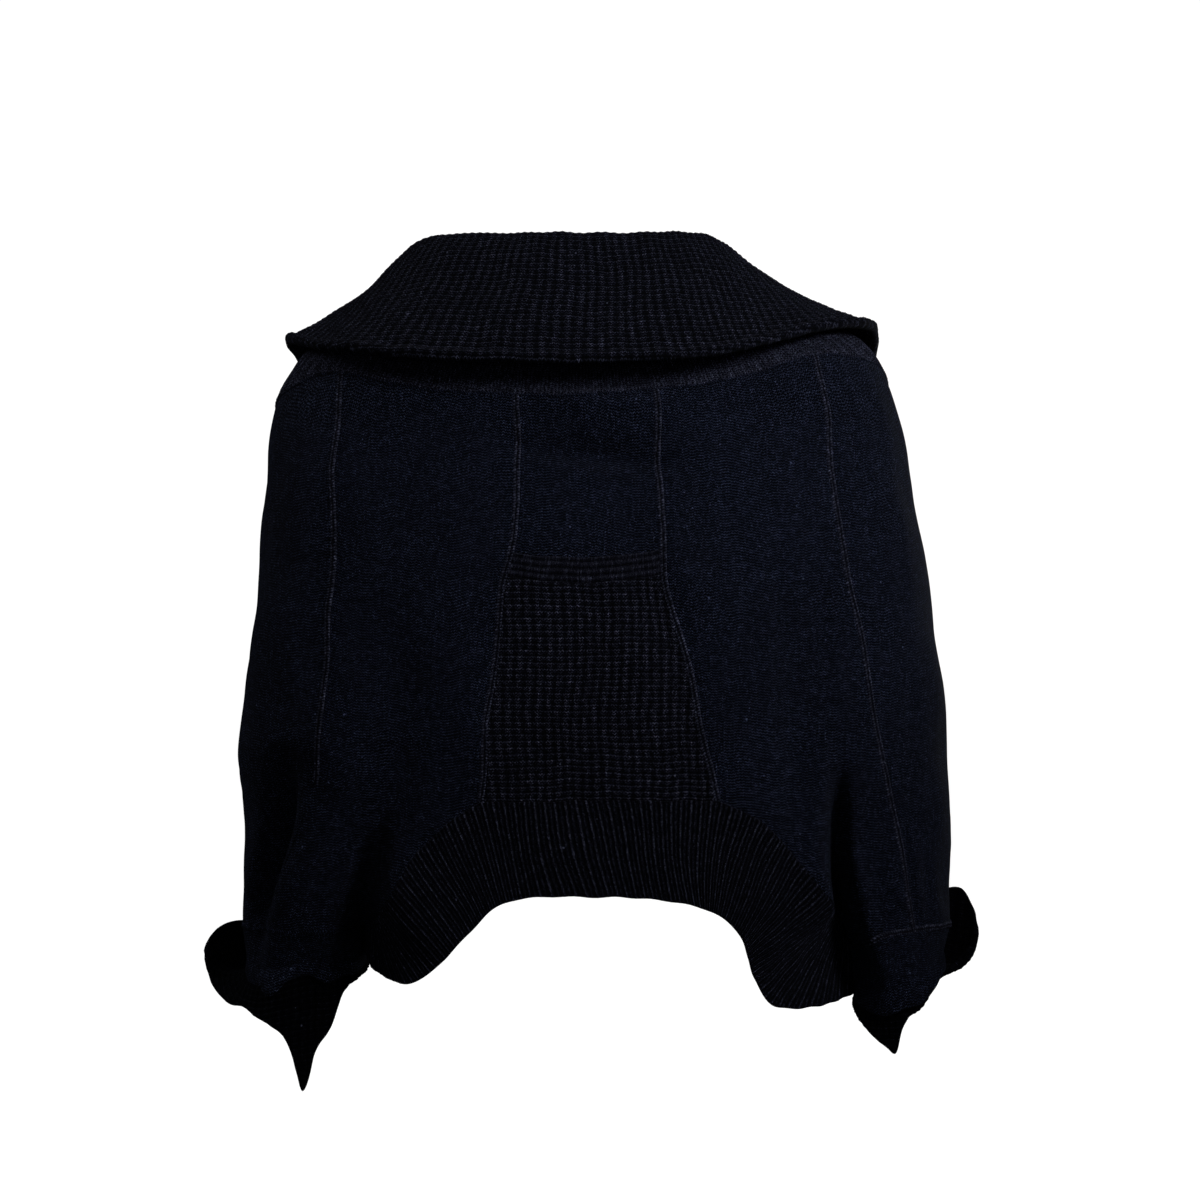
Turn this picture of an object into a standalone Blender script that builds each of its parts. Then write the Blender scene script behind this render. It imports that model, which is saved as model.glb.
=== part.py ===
"""Cropped cocoon cardigan with a wide shawl collar, hollow, in the form it has when worn.

Metres, +Z up, the wearer faces -Y and the wearer's left is +X. The origin is at the base of the
neck, where the shoulders hold the cardigan. Every sewn piece is a thin wall on one cloth surface:
theta runs round it from centre back over either arm to centre front, and drop runs down it from
the neckline. Left angles are positive and right angles negative.
"""
import math

import bmesh
import bpy
import numpy as np

JERSEY_WALL = 0.0022
RIB_WALL = 0.0028
SEAM_GAP = 0.0003
COLLAR_LIFT = 0.0024  # the collar stands on the yoke's edge
UNDERARM_OPENING = 0.0045  # left between the hem band and the sleeve end at the underarm point
BREAK_DROP = 0.290  # where the lapels end and the front bands begin
BREAK_GAP = 0.001  # between a lapel and its front band
FRONT_HEM_DROP = 0.440
FRONT_GAP_HALF = 0.014  # half the opening between the front bands
BAND_SEAM_X = 0.050
SEAM_START_DROP = 0.080  # near where the seams leave the yoke, to begin looking from
SEAM_TRIES, ANGLE_TRIES = 40, 8
STEP = 1e-4  # of a piece's own span, for slopes
FINE = 400  # points along an edge when its length is measured
SIDES = {"left": 1, "right": -1}


def table(columns, *rows):
    return dict(zip(columns.split(), np.array(rows, float).T))


# Rings of the cloth. Above 100 mm of drop they tilt over the shoulders; below it they are level.
RINGS = table(
    "drop   z_back  z_side  z_front left   right  y_back y_side  y_front boxy",
    (0.000, -0.018, -0.010, -0.060, 0.149, 0.143, 0.078, 0.000, -0.085, 0.03),
    (0.025, -0.033, -0.019, -0.070, 0.185, 0.178, 0.098, 0.000, -0.100, 0.04),
    (0.050, -0.055, -0.038, -0.084, 0.211, 0.207, 0.112, 0.000, -0.112, 0.05),
    (0.075, -0.077, -0.065, -0.096, 0.228, 0.2245, 0.121, -0.001, -0.120, 0.055),
    (0.100, -0.100, -0.100, -0.110, 0.2394, 0.2350, 0.1265, -0.002, -0.125, 0.06),
    (0.130, -0.130, -0.130, -0.130, 0.2440, 0.2395, 0.131, -0.004, -0.130, 0.06),
    (0.180, -0.180, -0.180, -0.180, 0.2484, 0.2486, 0.1345, -0.007, -0.134, 0.06),
    (0.240, -0.240, -0.240, -0.240, 0.2542, 0.2586, 0.136, -0.010, -0.134, 0.06),
    (0.300, -0.300, -0.300, -0.300, 0.2616, 0.2672, 0.135, -0.013, -0.130, 0.055),
    (0.345, -0.345, -0.345, -0.345, 0.2660, 0.2695, 0.132, -0.015, -0.128, 0.05),
    (0.385, -0.385, -0.385, -0.385, 0.2626, 0.2726, 0.128, -0.017, -0.126, 0.05),
    (0.440, -0.440, -0.440, -0.440, 0.2654, 0.2746, 0.122, -0.018, -0.124, 0.05),
    (0.500, -0.500, -0.500, -0.500, 0.2650, 0.2745, 0.116, -0.018, -0.120, 0.05),
)

# The dip between body and arm: how far out, how wide, how deep (1 meets the front), and how much
# flatter the sleeve is beyond it.
VALLEYS = {
    "left": table(
        "drop  out    width  depth  slim",
        (0.330, 0.152, 0.020, 0.00, 0.00),
        (0.400, 0.160, 0.020, 0.10, 0.15),
        (0.440, 0.166, 0.018, 0.40, 0.26),
        (0.476, 0.172, 0.016, 1.00, 0.34),
        (0.500, 0.172, 0.016, 1.00, 0.36),
    ),
    "right": table(
        "drop  out    width  depth  slim",
        (0.300, 0.188, 0.020, 0.00, 0.00),
        (0.360, 0.190, 0.020, 0.08, 0.08),
        (0.400, 0.193, 0.020, 0.28, 0.18),
        (0.440, 0.195, 0.020, 0.60, 0.26),
        (0.470, 0.196, 0.018, 0.90, 0.32),
        (0.492, 0.197, 0.017, 1.00, 0.35),
        (0.510, 0.197, 0.017, 1.00, 0.36),
    ),
}
PINCH_LEFT_OPEN = 0.016  # share of the depth that stays open where front and back meet
SLIM_WIDTH = 0.012

# The largest folds: a height along the outward normal, negative for a trough. Each is measured
# along straight legs, and rises and falls over a span of half a turn.
FOLD_LEGS, FOLD_SPAN = 5, (0.08, 0.94)
FOLDS = table(
    "theta  drop   end_theta end_drop width height",
    (50.0, 0.350, 68.0, 0.485, 0.013, -0.022),
    (40.0, 0.395, 56.0, 0.480, 0.013, 0.007),
    (-12.0, 0.112, 14.0, 0.110, 0.013, -0.003),
    (-50.0, 0.395, -56.0, 0.480, 0.012, 0.005),
    (104.0, 0.330, 96.0, 0.470, 0.015, -0.010),
    (-104.0, 0.330, -98.0, 0.470, 0.015, -0.010),
    (132.0, 0.150, 112.0, 0.300, 0.020, -0.006),
    (-132.0, 0.150, -112.0, 0.300, 0.020, -0.006),
)

YOKE_SEAM = table(
    "theta   drop",
    (-180.0, 0.118),
    (-150.0, 0.109),
    (-120.0, 0.093),
    (-90.0, 0.075),
    (-65.0, 0.0605),
    (-44.0, 0.0545),
    (-25.0, 0.067),
    (0.0, 0.0805),
    (22.0, 0.078),
    (38.0, 0.0715),
    (51.0, 0.0675),
    (64.0, 0.077),
    (76.0, 0.084),
    (90.0, 0.091),
    (120.0, 0.102),
    (150.0, 0.112),
    (180.0, 0.118),
)

# Seams that run down the cloth: how far out each is at each drop, and where it ends.
LINES = {
    ("centre", "left"): table(
        "drop  out",
        (0.080, 0.0530),
        (0.196, 0.0572),
        (0.2123, 0.0600),
        (0.292, 0.0695),
        (0.371, 0.0786),
    ),
    ("centre", "right"): table(
        "drop  out",
        (0.080, 0.0462),
        (0.196, 0.0533),
        (0.2123, 0.0555),
        (0.292, 0.0735),
        (0.371, 0.0911),
    ),
    ("outer", "left"): table(
        "drop  out",
        (0.070, 0.1809),
        (0.199, 0.1859),
        (0.300, 0.1930),
        (0.357, 0.1985),
        (0.420, 0.2220),
        (0.475, 0.2430),
    ),
    ("outer", "right"): table(
        "drop  out",
        (0.054, 0.1640),
        (0.199, 0.1830),
        (0.301, 0.2034),
        (0.400, 0.2235),
        (0.472, 0.2385),
    ),
    ("front", "left"): table(
        "drop  out", (0.090, 0.172), (0.200, 0.185), (0.300, 0.200), (0.475, 0.236)
    ),
    ("front", "right"): table(
        "drop  out", (0.090, 0.172), (0.200, 0.187), (0.300, 0.204), (0.472, 0.238)
    ),
}
NECK_EDGE = table(
    "drop  out",
    (0.000, 0.1400),
    (0.050, 0.1340),
    (0.100, 0.1170),
    (0.200, 0.0810),
    (0.290, BAND_SEAM_X),
    (0.296, BAND_SEAM_X),
    (0.500, BAND_SEAM_X),
)
FRONT_LINES = ("front", "neck")

# Lower edges of the side backs and fronts, from the centre outwards, past the underarm point.
LOWER_EDGES = {
    ("back", "left"): table(
        "out    drop",
        (0.0786, 0.371),
        (0.105, 0.391),
        (0.137, 0.430),
        (0.155, 0.456),
        (0.165, 0.470),
        (0.172, 0.476),
        (0.182, 0.474),
        (0.243, 0.475),
    ),
    ("back", "right"): table(
        "out    drop",
        (0.0911, 0.371),
        (0.118, 0.384),
        (0.144, 0.408),
        (0.174, 0.4455),
        (0.189, 0.475),
        (0.197, 0.492),
        (0.206, 0.487),
        (0.2385, 0.472),
    ),
    ("front", "left"): table(
        "out    drop",
        (BAND_SEAM_X, 0.371),
        (0.080, 0.374),
        (0.115, 0.398),
        (0.145, 0.440),
        (0.163, 0.468),
        (0.172, 0.476),
        (0.182, 0.474),
        (0.236, 0.475),
    ),
    ("front", "right"): table(
        "out    drop",
        (BAND_SEAM_X, 0.371),
        (0.085, 0.374),
        (0.125, 0.394),
        (0.160, 0.432),
        (0.186, 0.474),
        (0.197, 0.492),
        (0.206, 0.487),
        (0.238, 0.472),
    ),
}
UNDERARM_OUT = {"left": 0.172, "right": 0.197}
SLEEVE_SEAM = table(
    "turn   left   right", (0.0, 0.475, 0.472), (0.5, 0.476, 0.469), (1.0, 0.475, 0.472)
)
CENTRE_HEM_DROP = 0.371

# Lower edge of the hem band: its share of the way along, and its place.
HEM_BACK = table(
    "share  x       y       z",
    (0.000, 0.167, -0.0175, -0.494),
    (0.060, 0.158, 0.040, -0.502),
    (0.120, 0.135, 0.080, -0.509),
    (0.200, 0.108, 0.100, -0.490),
    (0.260, 0.090, 0.107, -0.468),
    (0.330, 0.070, 0.112, -0.450),
    (0.380, 0.050, 0.115, -0.4435),
    (0.455, 0.000, 0.118, -0.441),
    (0.530, -0.044, 0.116, -0.443),
    (0.580, -0.070, 0.113, -0.447),
    (0.660, -0.092, 0.108, -0.455),
    (0.720, -0.107, 0.103, -0.470),
    (0.790, -0.1145, 0.099, -0.487),
    (0.850, -0.1215, 0.094, -0.505),
    (0.900, -0.136, 0.084, -0.525),
    (0.950, -0.170, 0.048, -0.529),
    (1.000, -0.198, -0.0175, -0.527),
)
HEM_FRONT = {
    "left": table(
        "share x      y       z",
        (0.00, 0.167, -0.0190, -0.494),
        (0.18, 0.152, -0.072, -0.500),
        (0.36, 0.126, -0.100, -0.492),
        (0.55, 0.099, -0.113, -0.460),
        (0.78, 0.072, -0.119, -0.443),
        (1.00, 0.050, -0.121, -FRONT_HEM_DROP),
    ),
    "right": table(
        "share x      y       z",
        (0.00, 0.198, -0.0190, -0.527),
        (0.18, 0.176, -0.072, -0.525),
        (0.36, 0.140, -0.100, -0.508),
        (0.55, 0.108, -0.112, -0.470),
        (0.78, 0.076, -0.119, -0.445),
        (1.00, 0.050, -0.121, -FRONT_HEM_DROP),
    ),
}

# Ends of the sleeves: an oval, and the height of its edge from the inner side round the back.
SLEEVE_OVAL = {
    "left": {"x": 0.2185, "y": -0.018, "wide": 0.0445, "deep": 0.050},
    "right": {"x": 0.2345, "y": -0.018, "wide": 0.0315, "deep": 0.050},
}
SLEEVE_EDGE = table(
    "turn  left    right",
    (0.00, -0.500, -0.533),
    (0.15, -0.508, -0.533),
    (0.25, -0.510, -0.530),
    (0.34, -0.518, -0.525),
    (0.42, -0.518, -0.510),
    (0.50, -0.512, -0.505),
    (0.60, -0.508, -0.507),
    (0.75, -0.506, -0.519),
    (1.00, -0.500, -0.533),
)

# Rims of the cuffs, against the sleeve's edge: how far out and how far up.
CUFF_RIMS = {
    "left": table(
        "turn    reach  rise",
        (0.0, 0.000, -0.008),
        (40.0, 0.002, -0.010),
        (52.0, 0.003, -0.020),
        (62.0, 0.004, -0.040),
        (76.0, 0.004, -0.058),
        (88.0, 0.006, -0.084),
        (97.0, 0.004, -0.053),
        (115.0, 0.003, -0.031),
        (132.0, 0.004, -0.022),
        (150.0, 0.007, -0.016),
        (168.0, 0.018, -0.018),
        (180.0, 0.030, -0.008),
        (192.0, 0.035, 0.014),
        (208.0, 0.029, 0.028),
        (228.0, 0.018, 0.026),
        (260.0, 0.014, 0.008),
        (310.0, 0.004, -0.008),
        (360.0, 0.000, -0.008),
    ),
    "right": table(
        "turn    reach  rise",
        (0.0, 0.000, -0.008),
        (22.0, 0.002, -0.011),
        (50.0, 0.003, -0.022),
        (68.0, 0.003, -0.031),
        (79.0, 0.003, -0.036),
        (90.0, 0.002, -0.018),
        (104.0, -0.001, -0.008),
        (122.0, -0.003, -0.007),
        (150.0, -0.002, -0.007),
        (162.0, 0.001, -0.007),
        (170.0, 0.012, 0.001),
        (178.0, 0.025, 0.014),
        (190.0, 0.032, 0.032),
        (204.0, 0.029, 0.054),
        (218.0, 0.017, 0.050),
        (240.0, 0.014, 0.024),
        (270.0, 0.010, 0.004),
        (320.0, 0.004, -0.007),
        (360.0, 0.000, -0.008),
    ),
}
CUFF_TURN_DIP = 0.010
CUFF_TURN_SAG = 0.4  # of the rise, for a rim that is turned up

# The collar from centre back to the break: its fold line, its outer edge, how round the fold is
# and how far the fall stands out (or sinks in) between the two.
COLLAR = {
    "left": table(
        "share fold_x fold_y  fold_z edge_x edge_y  edge_z  round  bulge",
        (0.00, 0.000, 0.095, 0.0370, 0.000, 0.150, -0.0610, 0.013, 0.004),
        (0.10, 0.052, 0.094, 0.0370, 0.075, 0.148, -0.0595, 0.013, 0.004),
        (0.20, 0.098, 0.080, 0.0370, 0.150, 0.124, -0.0530, 0.011, -0.001),
        (0.28, 0.131, 0.050, 0.0325, 0.202, 0.080, -0.0440, 0.006, -0.006),
        (0.36, 0.145, 0.008, 0.0090, 0.2290, 0.016, -0.0320, 0.005, -0.002),
        (0.45, 0.144, -0.042, -0.0010, 0.228, -0.054, -0.0440, 0.007, 0.001),
        (0.58, 0.122, -0.100, -0.0420, 0.200, -0.121, -0.1020, 0.010, 0.003),
        (0.72, 0.094, -0.140, -0.1250, 0.152, -0.152, -0.1880, 0.011, 0.003),
        (0.86, 0.067, -0.153, -0.2150, 0.105, -0.161, -0.2550, 0.012, 0.003),
        (1.00, 0.046, -0.152, -0.2860, 0.054, -0.156, -0.2930, 0.012, 0.003),
    ),
    "right": table(
        "share fold_x fold_y  fold_z edge_x edge_y  edge_z  round  bulge",
        (0.00, 0.000, 0.095, 0.0370, 0.000, 0.150, -0.0610, 0.013, 0.004),
        (0.10, 0.050, 0.094, 0.0370, 0.072, 0.147, -0.0570, 0.013, 0.004),
        (0.20, 0.088, 0.080, 0.0360, 0.128, 0.124, -0.0460, 0.011, -0.001),
        (0.28, 0.108, 0.050, 0.0270, 0.178, 0.082, -0.0290, 0.006, -0.005),
        (0.36, 0.125, 0.008, 0.0090, 0.2125, 0.016, -0.0215, 0.005, 0.001),
        (0.45, 0.132, -0.042, 0.0000, 0.221, -0.054, -0.0400, 0.007, 0.002),
        (0.58, 0.119, -0.100, -0.0420, 0.196, -0.121, -0.1020, 0.010, 0.003),
        (0.72, 0.094, -0.140, -0.1250, 0.152, -0.152, -0.1880, 0.011, 0.003),
        (0.86, 0.067, -0.153, -0.2150, 0.105, -0.161, -0.2550, 0.012, 0.003),
        (1.00, 0.046, -0.152, -0.2860, 0.054, -0.156, -0.2930, 0.012, 0.003),
    ),
}
STAND_SHARE = 0.36  # of the collar's width, up to the fold
STAND_PULL, FALL_PULL = 0.4, 0.6  # how far the collar keeps its direction before it bends
ROUND_LIMIT = 0.45  # of the stand's height, the most its fold is rounded by
BULGE_RISE = 0.5  # of the bulge's way out, turned upwards

# Rows down the panels: the tuck strip lies between its own two.
TUCK_ROWS = (0.390, 0.452)
PANEL_ROWS = np.array([0, 0.13, 0.26, *TUCK_ROWS, 0.56, 0.67, 0.78, 0.89, 1.0])
TUCK_SAG = 0.004
TUCK_SAG_SHARE = 0.12  # of the centre panel's length, over which the sag fades
SHORT_ROWS = (0, 0.5, 1)
HEM_ROWS = (0, 0.34, 0.67, 1)
YOKE_ROWS = (0, 0.35, 0.7, 1)
CUFF_ROWS = (0, 0.25, 0.5, 0.75, 1)
FRONT_BAND_ROWS = np.linspace(0, 1, 6)
COLLAR_ROWS = (0, 0.12, 0.24, STAND_SHARE, 0.437, 0.552, 0.712, 0.859, 1)
CUFF_MIDDLE_REACH = 0.7  # of the rim's reach, halfway up a cuff
CUFF_COLUMN_SPACE = 0.012  # least share between a column of the rim and one of the sleeve's end
COLUMNS = {"centre": 5, "to_underarm": 8, "past_underarm": 3, "sleeve": 12, "collar_half": 22}

SHARP_DEGREES = 50
INKS = {
    "jersey": ((0.0065, 0.0078, 0.0150, 1), 0.92),
    "rib": ((0.0050, 0.0060, 0.0110, 1), 0.94),
    "waffle": ((0.0050, 0.0058, 0.0105, 1), 0.95),
}


def spline(at, knots, values):
    """A smooth curve through the values at the knots."""
    at = np.clip(at, knots[0], knots[-1])
    slopes = np.gradient(values, knots)
    i = np.clip(np.searchsorted(knots, at, side="right") - 1, 0, len(knots) - 2)
    span = knots[i + 1] - knots[i]
    t = (at - knots[i]) / span
    return (
        (1 + 2 * t) * (1 - t) ** 2 * values[i]
        + t * (1 - t) ** 2 * span * slopes[i]
        + t * t * (3 - 2 * t) * values[i + 1]
        + t * t * (t - 1) * span * slopes[i + 1]
    )


def column(rows, name, at, key="drop"):
    return spline(at, rows[key], rows[name])


def mix(a, b, t):
    return a + (b - a) * t


def unit(v):
    return v / np.maximum(np.linalg.norm(v, axis=-1, keepdims=True), 1e-12)


def per_side(theta, left, right):
    return np.where(np.sin(theta) >= 0, left, right)


# ---------------------------------------------------------------- the cloth surface


def plain_cloth(theta, drop):
    """The cloth without its folds."""
    ring = {name: column(RINGS, name, drop) for name in RINGS if name != "drop"}
    s, c, boxy = np.sin(theta), np.cos(theta), ring["boxy"]
    x = per_side(theta, ring["left"], ring["right"]) * (s + boxy * np.sin(3 * theta)) / (1 - boxy)
    reach = np.where(c >= 0, ring["y_back"] - ring["y_side"], ring["y_side"] - ring["y_front"])
    valley = {
        name: per_side(theta, *(column(VALLEYS[side], name, drop) for side in SIDES))
        for name in ("out", "width", "depth", "slim")
    }
    beyond = np.abs(x) - valley["out"]
    open_share = 1 - valley["depth"] * np.exp(-((beyond / valley["width"]) ** 2))
    open_share = mix(PINCH_LEFT_OPEN, 1, open_share)
    slim = 1 - valley["slim"] / (1 + np.exp(-beyond / SLIM_WIDTH))
    y = ring["y_side"] + reach * (c - boxy * np.cos(3 * theta)) / (1 - boxy) * open_share * slim
    z_middle = np.where(c >= 0, ring["z_back"], ring["z_front"])
    return np.stack([x, y, mix(ring["z_side"], z_middle, c * c)], -1)


def normals(place, a, b, step_a=STEP, step_b=STEP):
    across = place(a + step_a, b) - place(a - step_a, b)
    down = place(a, b + step_b) - place(a, b - step_b)
    return unit(np.cross(across, down))


def fold_heights(points):
    """The height of all folds together at each point."""
    total = np.zeros(points.shape[:-1])
    for row in zip(*FOLDS.values()):
        theta, drop, end_theta, end_drop, width, height = row
        t = np.linspace(0, 1, FOLD_LEGS + 1)
        path = plain_cloth(np.radians(mix(theta, end_theta, t)), mix(drop, end_drop, t))
        nearest = np.full(total.shape, np.inf)
        along = np.zeros(total.shape)
        for k in range(FOLD_LEGS):
            leg = path[k + 1] - path[k]
            share = np.clip(((points - path[k]) @ leg) / (leg @ leg), 0, 1)
            gap = np.linalg.norm(points - path[k] - share[..., None] * leg, axis=-1)
            along = np.where(gap < nearest, (k + share) / FOLD_LEGS, along)
            nearest = np.minimum(gap, nearest)
        fade = np.sin(np.pi * mix(*FOLD_SPAN, along))
        total += height * np.exp(-((nearest / width) ** 2)) * fade
    return total


def cloth(theta, drop):
    points = plain_cloth(theta, drop)
    return points + normals(plain_cloth, theta, drop) * fold_heights(points)[..., None]


def theta_at(out, drop, side, front=False):
    """The angle at which the cloth is this far out, on the back or the front."""
    boxy = column(RINGS, "boxy", drop)
    target = (1 - boxy) * np.clip(out / column(RINGS, side, drop), 0, 1)
    s = target * 1.0
    for _ in range(ANGLE_TRIES):
        s = s - (s * (1 + 3 * boxy) - 4 * boxy * s**3 - target) / (1 + 3 * boxy - 12 * boxy * s * s)
    angle = np.arcsin(np.clip(s, -1, 1))
    return SIDES[side] * (np.pi - angle if front else angle)


def yoke_drop(theta):
    return spline(np.degrees(theta), YOKE_SEAM["theta"], YOKE_SEAM["drop"])


# ---------------------------------------------------------------- seams


def line_theta(line, side, drop):
    rows = NECK_EDGE if line == "neck" else LINES[line, side]
    return theta_at(column(rows, "out", drop), drop, side, line in FRONT_LINES)


def line_ends(line, side):
    """The drops at which a seam leaves the yoke and ends."""
    start = SEAM_START_DROP
    for _ in range(SEAM_TRIES):
        start = float(yoke_drop(line_theta(line, side, start)))
    ends = {"centre": CENTRE_HEM_DROP, "neck": LOWER_EDGES["front", side]["drop"][0]}
    return start, ends[line] if line in ends else LINES[line, side]["drop"][-1]


def line(name, side, q):
    """Angle and drop of a seam at share q of its way down."""
    drop = mix(*line_ends(name, side), q)
    return np.stack([line_theta(name, side, drop), drop], -1)


def evenly(theta, drop):
    """A curve on the cloth, to be read at even shares of its length."""
    legs = np.linalg.norm(np.diff(cloth(theta, drop), axis=0), axis=1)
    share = np.concatenate([[0], np.cumsum(legs)])
    return {"share": share / share[-1], "theta": theta, "drop": drop, "length": share[-1]}


def read(curve, share):
    return np.stack([np.interp(share, curve["share"], curve[k]) for k in ("theta", "drop")], -1)


def lower_edge(half, side):
    rows = LOWER_EDGES[half, side]
    out = np.linspace(rows["out"][0], rows["out"][-1], FINE)
    drop = spline(out, rows["out"], rows["drop"])
    curve = evenly(theta_at(out, drop, side, half == "front"), drop)
    curve["underarm"] = float(np.interp(UNDERARM_OUT[side], out, curve["share"]))
    return curve


def sleeve_seam(side):
    """The lower edge of a sleeve panel, from the back seam round the arm to the front seam."""
    start, end = (float(line(name, side, 1.0)[0]) for name in ("outer", "front"))
    turn = np.linspace(0, 1, FINE)
    return evenly(mix(start, end, turn), spline(turn, SLEEVE_SEAM["turn"], SLEEVE_SEAM[side]))


def centre_hem():
    left, right = (float(line("centre", side, 1.0)[0]) for side in SIDES)
    theta = np.linspace(left, right, FINE)
    return evenly(theta, np.full(FINE, CENTRE_HEM_DROP))


EDGES = {(half, side): lower_edge(half, side) for half in ("back", "front") for side in SIDES}
EDGES.update({("sleeve", side): sleeve_seam(side) for side in SIDES})
EDGES["centre"] = centre_hem()


def coons(top, bottom, start, end, a, b):
    """A patch between four curves on the cloth."""
    a, b = np.clip(a, 0, 1)[..., None], np.clip(b, 0, 1)[..., None]
    corners = mix(mix(top(0.0), top(1.0), a), mix(bottom(0.0), bottom(1.0), a), b)
    return mix(top(a[..., 0]), bottom(a[..., 0]), b) + mix(start(b[..., 0]), end(b[..., 0]), a) - corners


def panel(edge, start, end):
    """The place of a panel's points, between two seams and over its lower edge."""
    ends = [float(line(*seam, 0.0)[0]) for seam in (start, end)]

    def top(a):
        theta = mix(*ends, np.asarray(a, float))
        return np.stack([theta, yoke_drop(theta)], -1)

    def place(a, b):
        theta, drop = np.moveaxis(
            coons(
                top,
                lambda t: read(edge, t),
                lambda t: line(*start, np.asarray(t, float)),
                lambda t: line(*end, np.asarray(t, float)),
                a,
                b,
            ),
            -1,
            0,
        )
        return cloth(theta, drop)

    return place


def centre_place(a, b):
    """The centre back, with the tuck strip hanging a little at its middle."""
    near = np.exp(-(((b - np.mean(TUCK_ROWS)) / TUCK_SAG_SHARE) ** 2))
    sag = TUCK_SAG * near * (1 - (2 * a - 1) ** 2)
    return CENTRE_PANEL(a, b + sag / (CENTRE_HEM_DROP - SEAM_START_DROP))


CENTRE_PANEL = panel(EDGES["centre"], ("centre", "left"), ("centre", "right"))


def yoke_place(a, b):
    """The yoke; a runs from -1, the right neck edge, to 1, the left one."""
    a, b = np.clip(a, -1, 1), np.clip(b, 0, 1)
    side_a = np.abs(a)
    parts = {}
    for side, sign in SIDES.items():
        seam = float(line("neck", side, 0.0)[1])
        low = float(line("neck", side, 0.0)[0])
        high = float(line_theta("neck", side, 0.0))
        edge_drop = seam * b
        edge_theta = line_theta("neck", side, edge_drop)
        bottom = yoke_drop(low * side_a)
        theta = mix(high, low, b) * side_a + (edge_theta - mix(high, low, b)) * side_a
        parts[side] = np.stack([theta, bottom * b + (edge_drop - seam * b) * side_a], -1)
    both = np.where((a >= 0)[..., None], parts["left"], parts["right"])
    return cloth(both[..., 0], both[..., 1])


# ---------------------------------------------------------------- pieces sewn to the lower edges


def cut_share(key):
    """Where the underarm opening begins, before and after the underarm point."""
    curve = EDGES[key]
    half = UNDERARM_OPENING / 2 / curve["length"]
    return curve["underarm"] - half, curve["underarm"] + half


def underarm_columns(key):
    """Shares along a side panel's lower edge, with one column at the underarm point."""
    before, after = cut_share(key)
    near = np.linspace(0, before, COLUMNS["to_underarm"] + 1)
    far = np.linspace(after, 1, COLUMNS["past_underarm"] + 1)
    return np.concatenate([near, [EDGES[key]["underarm"]], far])


# Shares along each lower edge where the panels have their columns.
PANEL_COLUMNS = {
    (half, side): underarm_columns((half, side)) for half in ("back", "front") for side in SIDES
}
PANEL_COLUMNS.update({("sleeve", side): np.linspace(0, 1, COLUMNS["sleeve"] + 1) for side in SIDES})
PANEL_COLUMNS["centre"] = np.linspace(0, 1, COLUMNS["centre"] + 1)


def edge_run(*stretches):
    """Stretches of lower edges joined end to end, with their columns' shares of the whole."""
    places, marks = [], []
    for key, first, last in stretches:
        low, high = sorted((first, last))
        columns = PANEL_COLUMNS[key]
        columns = columns[(columns >= low) & (columns <= high)]
        shares = np.unique(np.concatenate([np.linspace(low, high, FINE), columns]))
        shares = shares if first < last else shares[::-1]
        places.append(read(EDGES[key], shares))
        marks.append(np.isin(shares, columns))
    places = np.concatenate(places)
    run = evenly(places[:, 0], places[:, 1])
    run["columns"] = clean(run["share"][np.concatenate(marks)])
    return run


def clean(shares, least=0.004):
    """Shares in order, with the ends at 0 and 1 and no two too close."""
    kept = [0.0]
    for share in shares:
        if share - kept[-1] > least and 1 - share > least:
            kept.append(share)
    return np.array([*kept, 1.0])


BACK_RUN = edge_run(
    (("back", "left"), cut_share(("back", "left"))[0], 0.0),
    ("centre", 0.0, 1.0),
    (("back", "right"), 0.0, cut_share(("back", "right"))[0]),
)
FRONT_RUNS = {
    side: edge_run((("front", side), cut_share(("front", side))[0], 0.0)) for side in SIDES
}
SLEEVE_RUNS = {
    side: edge_run(
        (("back", side), cut_share(("back", side))[1], 1.0),
        (("sleeve", side), 0.0, 1.0),
        (("front", side), 1.0, cut_share(("front", side))[1]),
    )
    for side in SIDES
}


def on_run(run, a):
    at = read(run, np.clip(a, 0, 1))
    return cloth(at[..., 0], at[..., 1])


def run_normals(run):
    """The way out of the cloth along a run, so that the pieces on both sides of it are cut alike."""

    def at_shares(a):
        at = read(run, np.clip(a, 0, 1))
        return normals(cloth, at[..., 0], at[..., 1])

    return at_shares


def hem_place(run, rows, mirror=1):
    """A hem band from its seam down to its lower edge."""

    def place(a, b):
        a = np.clip(a, 0, 1)
        low = np.stack([column(rows, k, a, "share") for k in "xyz"], -1) * (mirror, 1, 1)
        return mix(on_run(run, a), low, b[..., None])

    return place


def sleeve_ring(side, a):
    """The edge of a sleeve's end: its points and the way outwards from it."""
    oval = SLEEVE_OVAL[side]
    turn = 2 * np.pi * a
    x = oval["x"] - oval["wide"] * np.cos(turn)
    y = oval["y"] + oval["deep"] * np.sin(turn)
    z = spline(a, SLEEVE_EDGE["turn"], SLEEVE_EDGE[side])
    out = np.stack([-np.cos(turn), np.sin(turn), 0 * turn], -1)
    flip = (SIDES[side], 1, 1)
    return np.stack([x, y, z], -1) * flip, out * flip


def sleeve_end_place(side):
    def place(a, b):
        a = np.clip(a, 0, 1)
        return mix(on_run(SLEEVE_RUNS[side], a), sleeve_ring(side, a)[0], b[..., None])

    return place


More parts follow.
